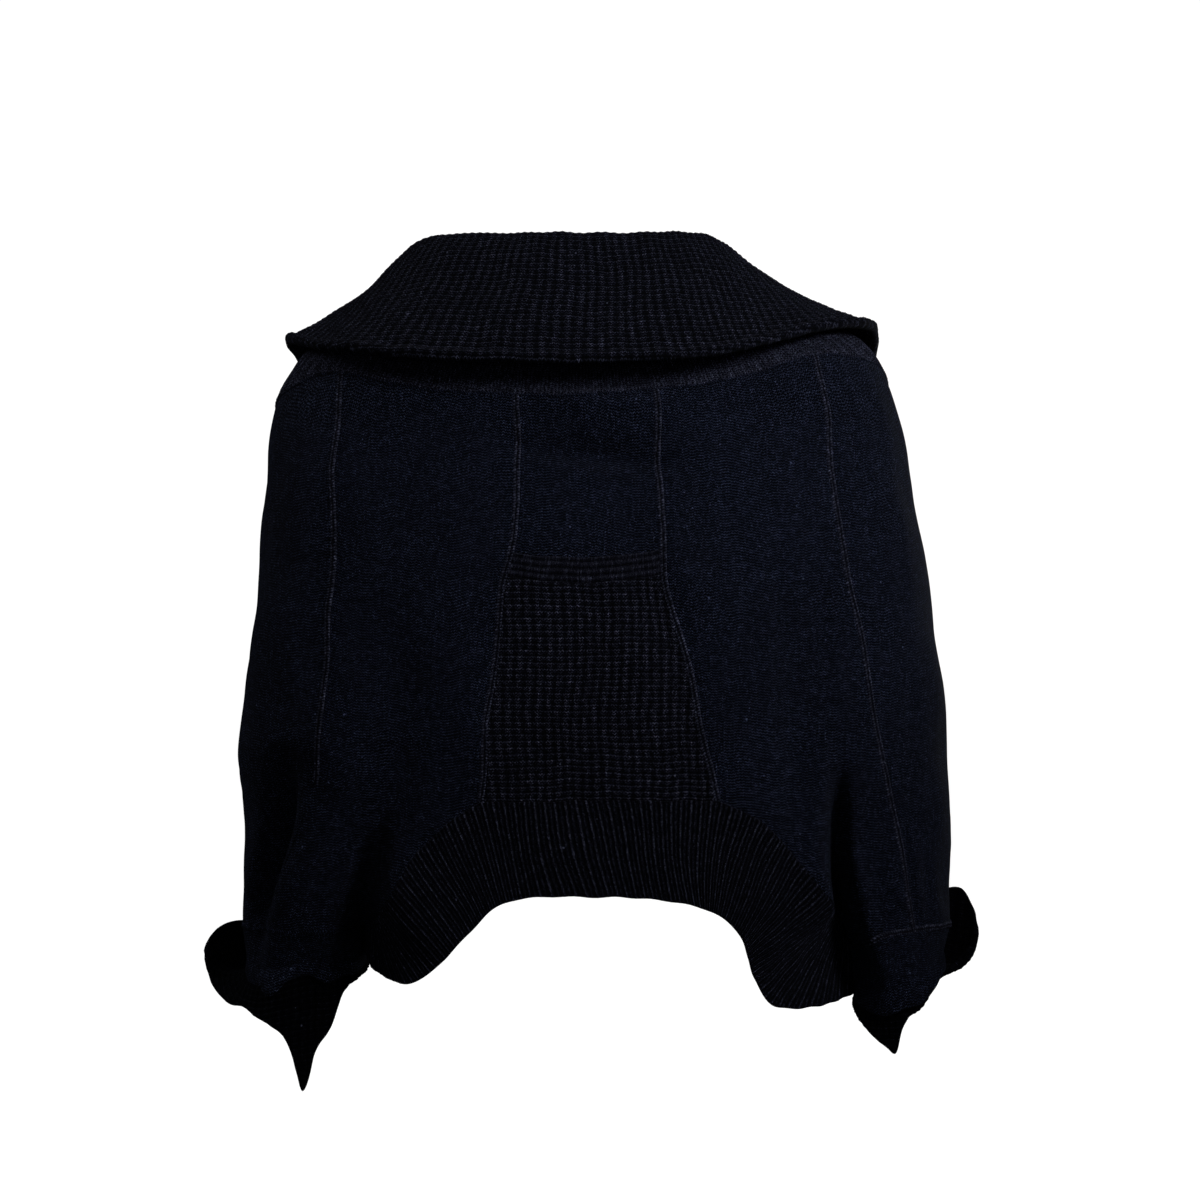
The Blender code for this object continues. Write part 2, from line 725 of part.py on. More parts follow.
def cuff_place(side):
    rows = CUFF_RIMS[side]
    columns = SLEEVE_RUNS[side]["columns"]
    edge, ways = sleeve_ring(side, columns)

    def place(a, b):
        a = a % 1.0
        ring = np.stack([np.interp(a, columns, k) for k in edge.T], -1)
        out = np.stack([np.interp(a, columns, k) for k in ways.T], -1)
        reach = column(rows, "reach", a * 360, "turn")
        rise = column(rows, "rise", a * 360, "turn")
        dip = np.minimum(rise / 2, -CUFF_TURN_DIP - CUFF_TURN_SAG * np.maximum(rise, 0))
        up = np.array([0, 0, 1.0])
        middle = ring + out * (CUFF_MIDDLE_REACH * reach)[..., None] + dip[..., None] * up
        rim = ring + out * reach[..., None] + rise[..., None] * up
        b = b[..., None]
        return mix(mix(ring, middle, b), mix(middle, rim, b), b)

    return place


# ---------------------------------------------------------------- collar and front bands


def neck_run(side):
    """Half the neckline: from centre back round the neck, then down the front edge to the break."""
    high = float(line_theta("neck", side, 0.0))
    round_neck = np.linspace(0, high, FINE)
    down = np.linspace(0, BREAK_DROP, FINE)[1:]
    theta = np.concatenate([round_neck, line_theta("neck", side, down)])
    return evenly(theta, np.concatenate([0 * round_neck, down]))


NECK_RUNS = {side: neck_run(side) for side in SIDES}


def bezier(a, b, c, d, t):
    return mix(mix(mix(a, b, t), mix(b, c, t), t), mix(mix(b, c, t), mix(c, d, t), t), t)


def collar_half(side, a, b):
    """a runs from 0 at centre back to 1 at the break; b from the seam over the fold to the edge."""
    at = read(NECK_RUNS[side], a)
    seam = cloth(at[..., 0], at[..., 1])
    up = normals(cloth, at[..., 0], at[..., 1])
    seam = seam + up * COLLAR_LIFT
    rows = COLLAR[side]
    flip = (SIDES[side], 1, 1)
    fold, edge = (
        np.stack([column(rows, f"{name}_{k}", a, "share") for k in "xyz"], -1) * flip
        for name in ("fold", "edge")
    )
    rise = unit(fold - mix(seam, edge, 0.5))
    over = edge - seam
    over = unit(over - (over * rise).sum(-1, keepdims=True) * rise)
    height = np.linalg.norm(fold - seam, axis=-1, keepdims=True)
    turn = over * np.minimum(column(rows, "round", a, "share")[..., None], height * ROUND_LIMIT)
    outward = unit(over + BULGE_RISE * rise) * column(rows, "bulge", a, "share")[..., None]
    stand_t = np.clip(b / STAND_SHARE, 0, 1)[..., None]
    fall_t = np.clip((b - STAND_SHARE) / (1 - STAND_SHARE), 0, 1)[..., None]
    stand = bezier(seam, seam + up * height * STAND_PULL, fold - turn, fold, stand_t)
    fall = bezier(fold, fold + turn, mix(fold, edge, FALL_PULL) + outward, edge, fall_t)
    return np.where((b <= STAND_SHARE)[..., None], stand, fall)


def collar_place(a, b):
    """a runs from -1 at the right break to 1 at the left one."""
    sides = {side: collar_half(side, np.clip(a * sign, 0, 1), b) for side, sign in SIDES.items()}
    return np.where((a >= 0)[..., None], sides["left"], sides["right"])


def front_band_place(side):
    def place(a, b):
        drop = mix(BREAK_DROP + BREAK_GAP, FRONT_HEM_DROP, b)
        out = mix(BAND_SEAM_X, FRONT_GAP_HALF, a)
        return cloth(theta_at(out, drop, side, True), drop)

    return place


# ---------------------------------------------------------------- solids


def fabric(name, ink):
    material = bpy.data.materials.new(name)
    material.use_nodes = True
    shader = material.node_tree.nodes["Principled BSDF"]
    colour, roughness = INKS[ink]
    shader.inputs["Base Color"].default_value = colour
    shader.inputs["Roughness"].default_value = roughness
    shader.inputs["Metallic"].default_value = 0
    return material


def wall(collection, name, place, across, down, thickness, ink, ring=False, first=None, last=None):
    """A closed wall of cloth round the middle surface that place gives, half a seam gap inside it.

    A ring joins its last column to its first. First and last give the normals of the end rows.
    """
    across, down = np.asarray(across, float), np.asarray(down, float)
    a, b = np.meshgrid(across, down, indexing="ij")
    points = place(a, b)
    out = normals(place, a, b)
    for row, beside, given in ((0, 1, first), (-1, -2, last)):
        if given:
            end = given(across)
            out[:, row] = end * np.sign((end * out[:, beside]).sum(-1, keepdims=True))
    points[:, 0] += unit(points[:, 1] - points[:, 0]) * SEAM_GAP / 2
    points[:, -1] += unit(points[:, -2] - points[:, -1]) * SEAM_GAP / 2
    if not ring:
        points[0] += unit(points[1] - points[0]) * SEAM_GAP / 2
        points[-1] += unit(points[-2] - points[-1]) * SEAM_GAP / 2
    mesh = bpy.data.meshes.new(name)
    bm = bmesh.new()
    layers = [
        [[bm.verts.new(p) for p in row] for row in points + sign * out * thickness / 2]
        for sign in (1, -1)
    ]
    rows, columns = len(down), len(across)
    for i in range(columns if ring else columns - 1):
        n = (i + 1) % columns
        for j in range(rows - 1):
            bm.faces.new([layers[0][i][j], layers[0][i][j + 1], layers[0][n][j + 1], layers[0][n][j]])
            bm.faces.new([layers[1][i][j], layers[1][n][j], layers[1][n][j + 1], layers[1][i][j + 1]])
        for j in (0, rows - 1):
            bm.faces.new([layers[0][i][j], layers[0][n][j], layers[1][n][j], layers[1][i][j]])
    if not ring:
        for i in (0, columns - 1):
            for j in range(rows - 1):
                bm.faces.new(
                    [layers[0][i][j], layers[0][i][j + 1], layers[1][i][j + 1], layers[1][i][j]]
                )
    bmesh.ops.recalc_face_normals(bm, faces=bm.faces)
    bm.to_mesh(mesh)
    bm.free()
    mesh.shade_smooth()
    mesh.set_sharp_from_angle(angle=math.radians(SHARP_DEGREES))
    mesh.materials.append(fabric(f"{name}_{ink}", ink))
    obj = bpy.data.objects.new(name, mesh)
    collection.objects.link(obj)
    return obj


def build(collection):
    centre = PANEL_COLUMNS["centre"]
    upper = PANEL_ROWS[PANEL_ROWS <= TUCK_ROWS[0]]
    lower = PANEL_ROWS[PANEL_ROWS >= TUCK_ROWS[1]]
    wall(collection, "back_centre_upper", centre_place, centre, upper, JERSEY_WALL, "jersey")
    wall(collection, "back_tuck_band", centre_place, centre, TUCK_ROWS, JERSEY_WALL, "jersey")
    wall(collection, "back_centre_lower", centre_place, centre, lower, RIB_WALL, "waffle")

    yoke_columns = []
    for side, sign in SIDES.items():
        panels = {
            "back": ("back_side", ("centre", side), ("outer", side)),
            "sleeve": ("sleeve", ("outer", side), ("front", side)),
            "front": ("front", ("neck", side), ("front", side)),
        }
        for half, (name, start, end) in panels.items():
            key = (half, side)
            columns = PANEL_COLUMNS[key]
            place = panel(EDGES[key], start, end)
            wall(collection, f"{name}_{side}", place, columns, PANEL_ROWS, JERSEY_WALL, "jersey")
            tops = [float(line(*seam, 0.0)[0]) for seam in (start, end)]
            whole = abs(float(line("neck", side, 0.0)[0]))
            yoke_columns += list(mix(*tops, columns) / whole)

        run = SLEEVE_RUNS[side]
        place = sleeve_end_place(side)
        ends = {"first": run_normals(run), "last": lambda a, side=side: sleeve_ring(side, a)[1]}
        name = f"sleeve_end_{side}"
        wall(collection, name, place, run["columns"], SHORT_ROWS, JERSEY_WALL, "jersey", **ends)
        own = CUFF_RIMS[side]["turn"][1:-1] / 360
        apart = np.abs(own[:, None] - run["columns"]).min(axis=1) > CUFF_COLUMN_SPACE
        cuff = np.sort(np.concatenate([own[apart], run["columns"][:-1]]))
        ends = {"first": ends["last"], "ring": True}
        place = cuff_place(side)
        wall(collection, f"cuff_{side}", place, cuff, CUFF_ROWS, RIB_WALL, "waffle", **ends)

        run = FRONT_RUNS[side]
        hem = hem_place(run, HEM_FRONT[side], sign)
        ends = {"first": run_normals(run)}
        name = f"hem_band_front_{side}"
        wall(collection, name, hem, run["columns"], SHORT_ROWS, RIB_WALL, "rib", **ends)
        place = front_band_place(side)
        name = f"front_band_{side}"
        wall(collection, name, place, SHORT_ROWS, FRONT_BAND_ROWS, RIB_WALL, "rib")

    hem = hem_place(BACK_RUN, HEM_BACK)
    columns, ends = BACK_RUN["columns"], {"first": run_normals(BACK_RUN)}
    wall(collection, "hem_band_back", hem, columns, HEM_ROWS, RIB_WALL, "rib", **ends)

    tops = {side: float(line("centre", side, 0.0)[0]) for side in SIDES}
    whole = {side: abs(float(line("neck", side, 0.0)[0])) for side in SIDES}
    middle = mix(tops["left"], tops["right"], centre)
    yoke_columns += [t / whole["left" if t >= 0 else "right"] for t in middle]
    yoke_columns = np.unique(np.round(np.concatenate([[-1, 1], np.clip(yoke_columns, -1, 1)]), 5))
    wall(collection, "shoulder_yoke", yoke_place, yoke_columns, YOKE_ROWS, RIB_WALL, "rib")

    half = np.linspace(0, 1, COLUMNS["collar_half"] + 1)
    around = np.concatenate([-half[::-1], half[1:]])
    wall(collection, "collar", collar_place, around, COLLAR_ROWS, RIB_WALL, "waffle")


def main():
    for obj in list(bpy.data.objects):
        bpy.data.objects.remove(obj, do_unlink=True)
    collection = bpy.data.collections.new("cardigan")
    bpy.context.scene.collection.children.link(collection)
    build(collection)


main()
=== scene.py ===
"""The look of a cropped cocoon cardigan: each sewn piece with its knit, folds and seams.

Metres, +Z up, the wearer faces -Y and the wearer's left is +X. The form repeats the solids' own:
theta runs round the cloth from centre back over either arm to centre front, and drop runs down it
from the neckline. Only the tables of the form are written in millimetres, and degrees.
"""
import math

import bpy
import numpy as np
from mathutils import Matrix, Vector


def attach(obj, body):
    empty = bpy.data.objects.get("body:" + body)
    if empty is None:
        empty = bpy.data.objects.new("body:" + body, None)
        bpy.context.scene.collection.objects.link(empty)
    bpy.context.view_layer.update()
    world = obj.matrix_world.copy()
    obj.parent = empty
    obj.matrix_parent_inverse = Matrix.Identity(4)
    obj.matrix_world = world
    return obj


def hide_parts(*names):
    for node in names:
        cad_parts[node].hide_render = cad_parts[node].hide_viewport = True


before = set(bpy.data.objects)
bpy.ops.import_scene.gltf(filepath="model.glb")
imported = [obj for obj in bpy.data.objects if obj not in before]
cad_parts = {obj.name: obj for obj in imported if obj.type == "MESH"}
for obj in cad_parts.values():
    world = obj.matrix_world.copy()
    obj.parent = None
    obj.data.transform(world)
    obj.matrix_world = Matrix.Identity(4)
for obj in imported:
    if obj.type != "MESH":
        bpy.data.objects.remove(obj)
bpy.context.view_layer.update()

JERSEY_WALL = 0.0022
RIB_WALL = 0.0028
SEAM_LAP = 0.0003  # how far neighbours reach into each other, so that no light shows
COLLAR_LIFT = 0.0024
UNDERARM_OPENING = 0.0004
BREAK_DROP = 0.290
FRONT_HEM_DROP = 0.440
FRONT_GAP_HALF = 0.014
BAND_SEAM_X = 0.050
BREAK_GAP = 0.001
SEAM_START_DROP = 0.080  # near where the seams leave the yoke, to begin looking from
SEAM_TRIES, ANGLE_TRIES = 40, 8
TUCK_ROWS = (0.390, 0.452)
TUCK_SAG = 0.004
TUCK_SAG_SHARE = 0.12
CUFF_MIDDLE_REACH = 0.7
STEP = 1e-4  # in angle and in drop, for slopes
FINE = 400  # points along an edge when its length is measured
SIDES = {"left": 1, "right": -1}
MM = 1000  # millimetres in a metre
UNSCALED = {"theta", "end_theta", "share", "turn", "boxy", "depth", "slim"}  # angles and shares


def table(columns, *rows):
    """Columns by name, written in millimetres and kept in metres."""
    values = zip(columns.split(), np.array(rows, float).T)
    return {name: value if name in UNSCALED else value / MM for name, value in values}


# Rings of the cloth. Above 100 mm of drop they tilt over the shoulders; below it they are level.
RINGS = table(
    "drop z_back z_side z_front left right y_back y_side y_front boxy",
    (0, -18, -10, -60, 149, 143, 78, 0, -85, 0.03),
    (25, -33, -19, -70, 185, 178, 98, 0, -100, 0.04),
    (50, -55, -38, -84, 211, 207, 112, 0, -112, 0.05),
    (75, -77, -65, -96, 228, 224.5, 121, -1, -120, 0.055),
    (100, -100, -100, -110, 239.4, 235, 126.5, -2, -125, 0.06),
    *(
        (drop, -drop, -drop, -drop, *rest)
        for drop, *rest in (
            (130, 244, 239.5, 131, -4, -130, 0.06),
            (180, 248.4, 248.6, 134.5, -7, -134, 0.06),
            (240, 254.2, 258.6, 136, -10, -134, 0.06),
            (300, 261.6, 267.2, 135, -13, -130, 0.055),
            (345, 266, 269.5, 132, -15, -128, 0.05),
            (385, 262.6, 272.6, 128, -17, -126, 0.05),
            (440, 265.4, 274.6, 122, -18, -124, 0.05),
            (500, 265, 274.5, 116, -18, -120, 0.05),
        )
    ),
)

# The dip between body and arm: how far out, how wide, how deep (1 meets the front), and how much
# flatter the sleeve is beyond it.
VALLEYS = {
    "left": table(
        "drop out width depth slim",
        (330, 152, 14, 0, 0), (400, 160, 13, 0.12, 0.15), (440, 166, 12, 0.4, 0.26),
        (476, 172, 13, 1, 0.34), (500, 172, 13, 1, 0.36),
    ),
    "right": table(
        "drop out width depth slim",
        (300, 178, 12, 0, 0), (360, 179, 8, 0.1, 0.08), (400, 181, 7, 0.4, 0.18),
        (440, 185, 7, 0.75, 0.26), (470, 190, 8, 0.95, 0.32), (492, 197, 10, 1, 0.35),
        (510, 199, 10, 1, 0.36),
    ),
}
PINCH_LEFT_OPEN = 0.004  # share of the depth that stays open where front and back meet
SLIM_WIDTH = 0.008

# The largest folds: a height along the outward normal, negative for a trough. Each is measured
# along straight legs, and rises and falls over a span of half a turn.
FOLD_LEGS, FOLD_SPAN = 5, (0.08, 0.94)
FOLDS = table(
    "theta drop end_theta end_drop width height",
    (50, 350, 68, 485, 13, -22), (40, 395, 56, 480, 13, 7), (-12, 112, 14, 110, 13, -3),
    (-50, 395, -56, 480, 12, 5), (104, 330, 96, 470, 15, -10), (-104, 330, -98, 470, 15, -10),
    (132, 150, 112, 300, 20, -6), (-132, 150, -112, 300, 20, -6),
)

YOKE_SEAM = table(
    "theta drop",
    (-180, 118), (-150, 109), (-120, 93), (-90, 75), (-65, 60.5), (-44, 54.5), (-25, 67),
    (0, 80.5), (22, 78), (38, 71.5), (51, 67.5), (64, 77), (76, 84), (90, 91), (120, 102),
    (150, 112), (180, 118),
)

# Seams that run down the cloth: how far out each is at each drop, and where it ends.
LINES = {
    ("centre", "left"): table(
        "drop out",
        (80, 53), (196, 57.2), (212.3, 60), (292, 69.5), (371, 78.6),
    ),
    ("centre", "right"): table(
        "drop out",
        (80, 46.2), (196, 53.3), (212.3, 55.5), (292, 73.5), (371, 91.1),
    ),
    ("outer", "left"): table(
        "drop out",
        (70, 180.9), (199, 185.9), (300, 193), (357, 198.5), (420, 222), (475, 243),
    ),
    ("outer", "right"): table(
        "drop out",
        (54, 164), (199, 183), (301, 203.4), (400, 223.5), (472, 238.5),
    ),
    ("front", "left"): table("drop out", (90, 172), (200, 185), (300, 200), (475, 236)),
    ("front", "right"): table("drop out", (90, 172), (200, 187), (300, 204), (472, 238)),
}
NECK_EDGE = table(
    "drop out",
    (0, 140), (50, 134), (100, 117), (200, 81), (290, BAND_SEAM_X * MM),
    (296, BAND_SEAM_X * MM), (500, BAND_SEAM_X * MM),
)
FRONT_LINES = ("front", "neck")

# Lower edges of the side backs and fronts, from the centre outwards, past the underarm point.
LOWER_EDGES = {
    ("back", "left"): table(
        "out drop",
        (78.6, 371), (105, 391), (137, 430), (155, 456), (165, 470), (172, 476), (182, 474),
        (243, 475),
    ),
    ("back", "right"): table(
        "out drop",
        (91.1, 371), (118, 384), (144, 408), (174, 445.5), (189, 475), (197, 492), (206, 481),
        (238.5, 472),
    ),
    ("front", "left"): table(
        "out drop",
        (BAND_SEAM_X * MM, 371), (80, 374), (115, 398), (145, 440), (163, 468), (172, 476),
        (182, 474), (236, 475),
    ),
    ("front", "right"): table(
        "out drop",
        (BAND_SEAM_X * MM, 371), (85, 374), (125, 394), (160, 432), (186, 474), (197, 492),
        (206, 481), (238, 472),
    ),
}
UNDERARM_OUT = {"left": 0.172, "right": 0.197}
SLEEVE_SEAM = table("turn left right", (0, 475, 472), (0.5, 476, 474), (1, 475, 472))
CENTRE_HEM_DROP = 0.371

# Lower edge of the hem band: its share of the way along, and its place.
HEM_BACK = table(
    "share x y z",
    (0, 175, -17.5, -496), (0.06, 162, 38, -502), (0.12, 135, 80, -509), (0.2, 108, 100, -490),
    (0.26, 90, 107, -468), (0.33, 70, 112, -450), (0.38, 50, 115, -443.5),
    (0.455, 0, 118, -441), (0.53, -44, 116, -443), (0.58, -70, 113, -447),
    (0.66, -92, 108, -455), (0.72, -107, 103, -470), (0.79, -114.5, 99, -487),
    (0.85, -121.5, 94, -505), (0.9, -136, 84, -525), (0.95, -170, 48, -529),
    (1, -204, -17.5, -529),
)
HEM_FRONT = {
    "left": table(
        "share x y z",
        (0, 175, -18, -496), (0.18, 152, -72, -500), (0.36, 126, -100, -492),
        (0.55, 99, -113, -460), (0.78, 72, -119, -443), (1, 50, -121, -FRONT_HEM_DROP * MM),
    ),
    "right": table(
        "share x y z",
        (0, 204, -18, -529), (0.18, 176, -72, -525), (0.36, 140, -100, -508),
        (0.55, 108, -112, -470), (0.78, 76, -119, -445), (1, 50, -121, -FRONT_HEM_DROP * MM),
    ),
}

# Ends of the sleeves: an oval, and the height of its edge from the inner side round the back.
SLEEVE_OVAL = {
    "left": {"x": 0.2185, "y": -0.018, "wide": 0.0445, "deep": 0.050},
    "right": {"x": 0.2345, "y": -0.018, "wide": 0.0315, "deep": 0.050},
}
SLEEVE_EDGE = table(
    "turn left right",
    (0, -500, -533), (0.15, -508, -533), (0.25, -510, -530), (0.34, -518, -525),
    (0.42, -518, -510), (0.5, -512, -505), (0.6, -508, -507), (0.75, -506, -519),
    (1, -500, -533),
)

# Rims of the cuffs, against the sleeve's edge: how far out and how far up.
CUFF_RIMS = {
    "left": table(
        "turn reach rise",
        (0, 0, -8), (40, 2, -10), (52, 3, -20), (62, 4, -40), (76, 4, -58), (88, 6, -84),
        (97, 4, -53), (115, 3, -31), (132, 4, -22), (150, 7, -16), (168, 18, -18),
        (180, 30, -8), (192, 35, 14), (208, 29, 28), (228, 18, 26), (260, 14, 8), (310, 4, -8),
        (360, 0, -8),
    ),
    "right": table(
        "turn reach rise",
        (0, 0, -8), (22, 2, -11), (50, 3, -22), (68, 3, -31), (79, 3, -36), (90, 2, -18),
        (104, -1, -8), (122, -3, -7), (150, -2, -7), (162, 1, -7), (170, 12, 1), (178, 25, 14),
        (190, 32, 32), (204, 29, 54), (218, 17, 50), (240, 14, 24), (270, 10, 4), (320, 4, -7),
        (360, 0, -8),
    ),
}
FULL_TURN = 360
CUFF_TURN_DIP = 0.010
CUFF_TURN_SAG = 0.4  # of the rise, for a rim that is turned up

# The collar from centre back to the break: its fold line, its outer edge, how round the fold is
# and how far the fall stands out (or sinks in) between the two.
COLLAR_LOW = (  # where the sides are alike
    (0.72, 94, -140, -125, 152, -152, -188, 11, 3),
    (0.86, 67, -153, -215, 105, -161, -255, 12, 3),
    (1, 46, -152, -286, 54, -156, -293, 12, 3),
)
COLLAR = {
    "left": table(
        "share fold_x fold_y fold_z edge_x edge_y edge_z round bulge",
        (0, 0, 95, 37, 0, 150, -61, 13, 4),
        (0.1, 52, 94, 37, 75, 148, -59.5, 13, 4),
        (0.2, 98, 80, 37, 150, 124, -53, 11, -1),
        (0.28, 131, 50, 32.5, 202, 80, -44, 6, -6),
        (0.36, 145, 8, 9, 229, 16, -32, 5, -2),
        (0.45, 144, -42, -1, 228, -54, -44, 7, 1),
        (0.58, 122, -100, -42, 200, -121, -102, 10, 3),
        *COLLAR_LOW,
    ),
    "right": table(
        "share fold_x fold_y fold_z edge_x edge_y edge_z round bulge",
        (0, 0, 95, 37, 0, 150, -61, 13, 4),
        (0.1, 50, 94, 37, 72, 147, -57, 13, 4),
        (0.2, 88, 80, 36, 128, 124, -46, 11, -1),
        (0.28, 108, 50, 27, 178, 82, -29, 6, -5),
        (0.36, 125, 8, 9, 212.5, 16, -21.5, 5, 1),
        (0.45, 132, -42, 0, 221, -54, -40, 7, 2),
        (0.58, 119, -100, -42, 196, -121, -102, 10, 3),
        *COLLAR_LOW,
    ),
}
STAND_SHARE = 0.36  # of the collar's width, up to the fold
STAND_PULL, FALL_PULL = 0.4, 0.6  # how far the collar keeps its direction before it bends
ROUND_LIMIT = 0.45  # of the stand's height, the most its fold is rounded by
BULGE_RISE = 0.5  # of the bulge's way out, turned upwards

# Finer creases than the solids have, listed in the same way.
CREASES = table(
    "theta drop end_theta end_drop width height",
    (53, 378, 62, 462, 4.5, -3.5), (46, 372, 58, 476, 6, 2.2), (66, 392, 74, 455, 7, 1.8),
    (33, 360, 44, 452, 11, -4.5), (24, 352, 33, 418, 8, 1.6), (-50, 402, -56.5, 486, 5, -3.2),
    (-43, 392, -51, 476, 8, 2), (-60, 412, -68, 466, 8, 1.6), (-35, 366, -43, 430, 10, -2.4),
    (12, 82, -14, 92, 9, 5.5), (12, 116, -14, 131, 12, -14.5), (12, 134, -14, 148, 18, -4),
    (27, 235, 28, 445, 26, -10), (15, 250, 15, 420, 17, 4.5), (-7.5, 180, -13.5, 350, 16, -6),
    (-28.5, 225, -28.5, 470, 22, -7), (84, 372, 97, 360, 7, -2.2), (86, 392, 102, 384, 6, 1.6),
    (83, 412, 100, 420, 7, -2), (88, 438, 104, 452, 6, 1.4), (-82, 386, -98, 372, 8, -1.4),
    (-84, 414, -101, 420, 7, 1.4), (-82, 440, -97, 456, 8, -1.4), (118, 130, 104, 230, 9, 2),
    (-118, 130, -105, 226, 9, 2), (128, 350, 116, 455, 12, -6), (-126, 350, -117, 458, 12, -6),
    (139, 345, 130, 430, 11, 3), (-138, 345, -131, 430, 11, 3), (60, 120, 72, 190, 14, -1.8),
    (-62, 116, -74, 196, 14, -1.6),
)


def spline(at, knots, values):
    """A smooth curve through the values at the knots."""
    at = np.clip(at, knots[0], knots[-1])
    slopes = np.gradient(values, knots)
    i = np.clip(np.searchsorted(knots, at, side="right") - 1, 0, len(knots) - 2)
    span = knots[i + 1] - knots[i]
    t = (at - knots[i]) / span
    return (
        (1 + 2 * t) * (1 - t) ** 2 * values[i]
        + t * (1 - t) ** 2 * span * slopes[i]
        + t * t * (3 - 2 * t) * values[i + 1]
        + t * t * (t - 1) * span * slopes[i + 1]
    )


def column(rows, name, at, key="drop"):
    return spline(at, rows[key], rows[name])


UP = np.array([0, 0, 1.0])
TINY = 1e-12


def mix(a, b, t):
    return a + (b - a) * t


def unit(v):
    return v / np.maximum(np.linalg.norm(v, axis=-1, keepdims=True), TINY)


def per_side(theta, left, right):
    return np.where(np.sin(theta) >= 0, left, right)


# ---- the cloth surface


def plain_cloth(theta, drop):
    """The cloth without its folds."""
    ring = {name: column(RINGS, name, drop) for name in RINGS if name != "drop"}
    s, c, boxy = np.sin(theta), np.cos(theta), ring["boxy"]
    half = per_side(theta, ring["left"], ring["right"])
    x = half * (s + boxy * np.sin(3 * theta)) / (1 - boxy)
    reach = np.where(c >= 0, ring["y_back"] - ring["y_side"], ring["y_side"] - ring["y_front"])
    valley = {
        name: per_side(theta, *(column(VALLEYS[side], name, drop) for side in SIDES))
        for name in ("out", "width", "depth", "slim")
    }
    beyond = np.abs(x) - valley["out"]
    open_share = 1 - valley["depth"] * np.exp(-((beyond / valley["width"]) ** 2))
    open_share = mix(PINCH_LEFT_OPEN, 1, open_share)
    slim = 1 - valley["slim"] / (1 + np.exp(-beyond / SLIM_WIDTH))
    y = reach * (c - boxy * np.cos(3 * theta)) / (1 - boxy) * open_share * slim + ring["y_side"]
    z_middle = np.where(c >= 0, ring["z_back"], ring["z_front"])
    return np.stack([x, y, mix(ring["z_side"], z_middle, c * c)], -1)


def normals(place, a, b):
    across = place(a + STEP, b) - place(a - STEP, b)
    down = place(a, b + STEP) - place(a, b - STEP)
    return unit(np.cross(across, down))


def fold_heights(points):
    """The height of all folds and creases together at each point."""
    total = np.zeros(points.shape[:-1])
    folds = [*zip(*FOLDS.values()), *zip(*CREASES.values())]
    for theta, drop, end_theta, end_drop, width, height in folds:
        t = np.linspace(0, 1, FOLD_LEGS + 1)
        path = plain_cloth(np.radians(mix(theta, end_theta, t)), mix(drop, end_drop, t))
        nearest = np.full(total.shape, np.inf)
        along = np.zeros(total.shape)
        for k in range(FOLD_LEGS):
            leg = path[k + 1] - path[k]
            share = np.clip(((points - path[k]) @ leg) / (leg @ leg), 0, 1)
            gap = np.linalg.norm(points - path[k] - share[..., None] * leg, axis=-1)
            along = np.where(gap < nearest, (k + share) / FOLD_LEGS, along)
            nearest = np.minimum(gap, nearest)
        rise = np.sin(np.pi * mix(*FOLD_SPAN, along))
        total += height * np.exp(-((nearest / width) ** 2)) * rise
    return total


END_MARGIN = 1.001  # just over one step, so that the step from any place stays in the table
# A fine table of those heights, so that they are worked out once.
HEIGHT_THETAS = np.radians(np.arange(-180, 180.1, 0.5))
HEIGHT_DROPS = np.arange(0, 0.5301, 0.002)
HEIGHTS = fold_heights(plain_cloth(HEIGHT_THETAS[:, None], HEIGHT_DROPS[None, :]))


def cubic_weights(t):
    """The shares of the four nearest numbers in a smooth curve."""
    return (
        -0.5 * t + t * t - 0.5 * t**3,
        1 - 2.5 * t * t + 1.5 * t**3,
        0.5 * t + 2 * t * t - 1.5 * t**3,
        -0.5 * t * t + 0.5 * t**3,
    )


def height_at(theta, drop):
    """Reads the table of heights with a smooth curve through its numbers."""
    theta, drop = np.broadcast_arrays(theta, drop)
    places, shares = [], []
    for value, knots in ((theta, HEIGHT_THETAS), (drop, HEIGHT_DROPS)):
        at = np.clip((value - knots[0]) / (knots[1] - knots[0]), 0, len(knots) - END_MARGIN)
        places.append(at.astype(int))
        shares.append(cubic_weights(at - at.astype(int)))
    total = 0.0
    for i, across in zip((-1, 0, 1, 2), shares[0]):
        for j, down in zip((-1, 0, 1, 2), shares[1]):
            near = [np.clip(p + k, 0, n - 1) for p, k, n in zip(places, (i, j), HEIGHTS.shape)]
            total = total + across * down * HEIGHTS[near[0], near[1]]
    return total


def cloth(theta, drop):
    height = height_at(theta, drop)[..., None]
    return plain_cloth(theta, drop) + normals(plain_cloth, theta, drop) * height


def cloth_at(at):
    """The cloth at stacked angles and drops."""
    return cloth(at[..., 0], at[..., 1])


def theta_at(out, drop, side, front=False):
    """The angle at which the cloth is this far out, on the back or the front."""
    boxy = column(RINGS, "boxy", drop)
    target = (1 - boxy) * np.clip(out / column(RINGS, side, drop), 0, 1)
    s = target
    for _ in range(ANGLE_TRIES):
        slope = 1 + 3 * boxy - 12 * boxy * s * s
        s = s - (s * (1 + 3 * boxy) - 4 * boxy * s**3 - target) / slope
    angle = np.arcsin(np.clip(s, -1, 1))
    return SIDES[side] * (np.pi - angle if front else angle)


def yoke_drop(theta):
    return spline(np.degrees(theta), YOKE_SEAM["theta"], YOKE_SEAM["drop"])


# ---- seams


def line_theta(line, side, drop):
    rows = NECK_EDGE if line == "neck" else LINES[line, side]
    return theta_at(column(rows, "out", drop), drop, side, line in FRONT_LINES)


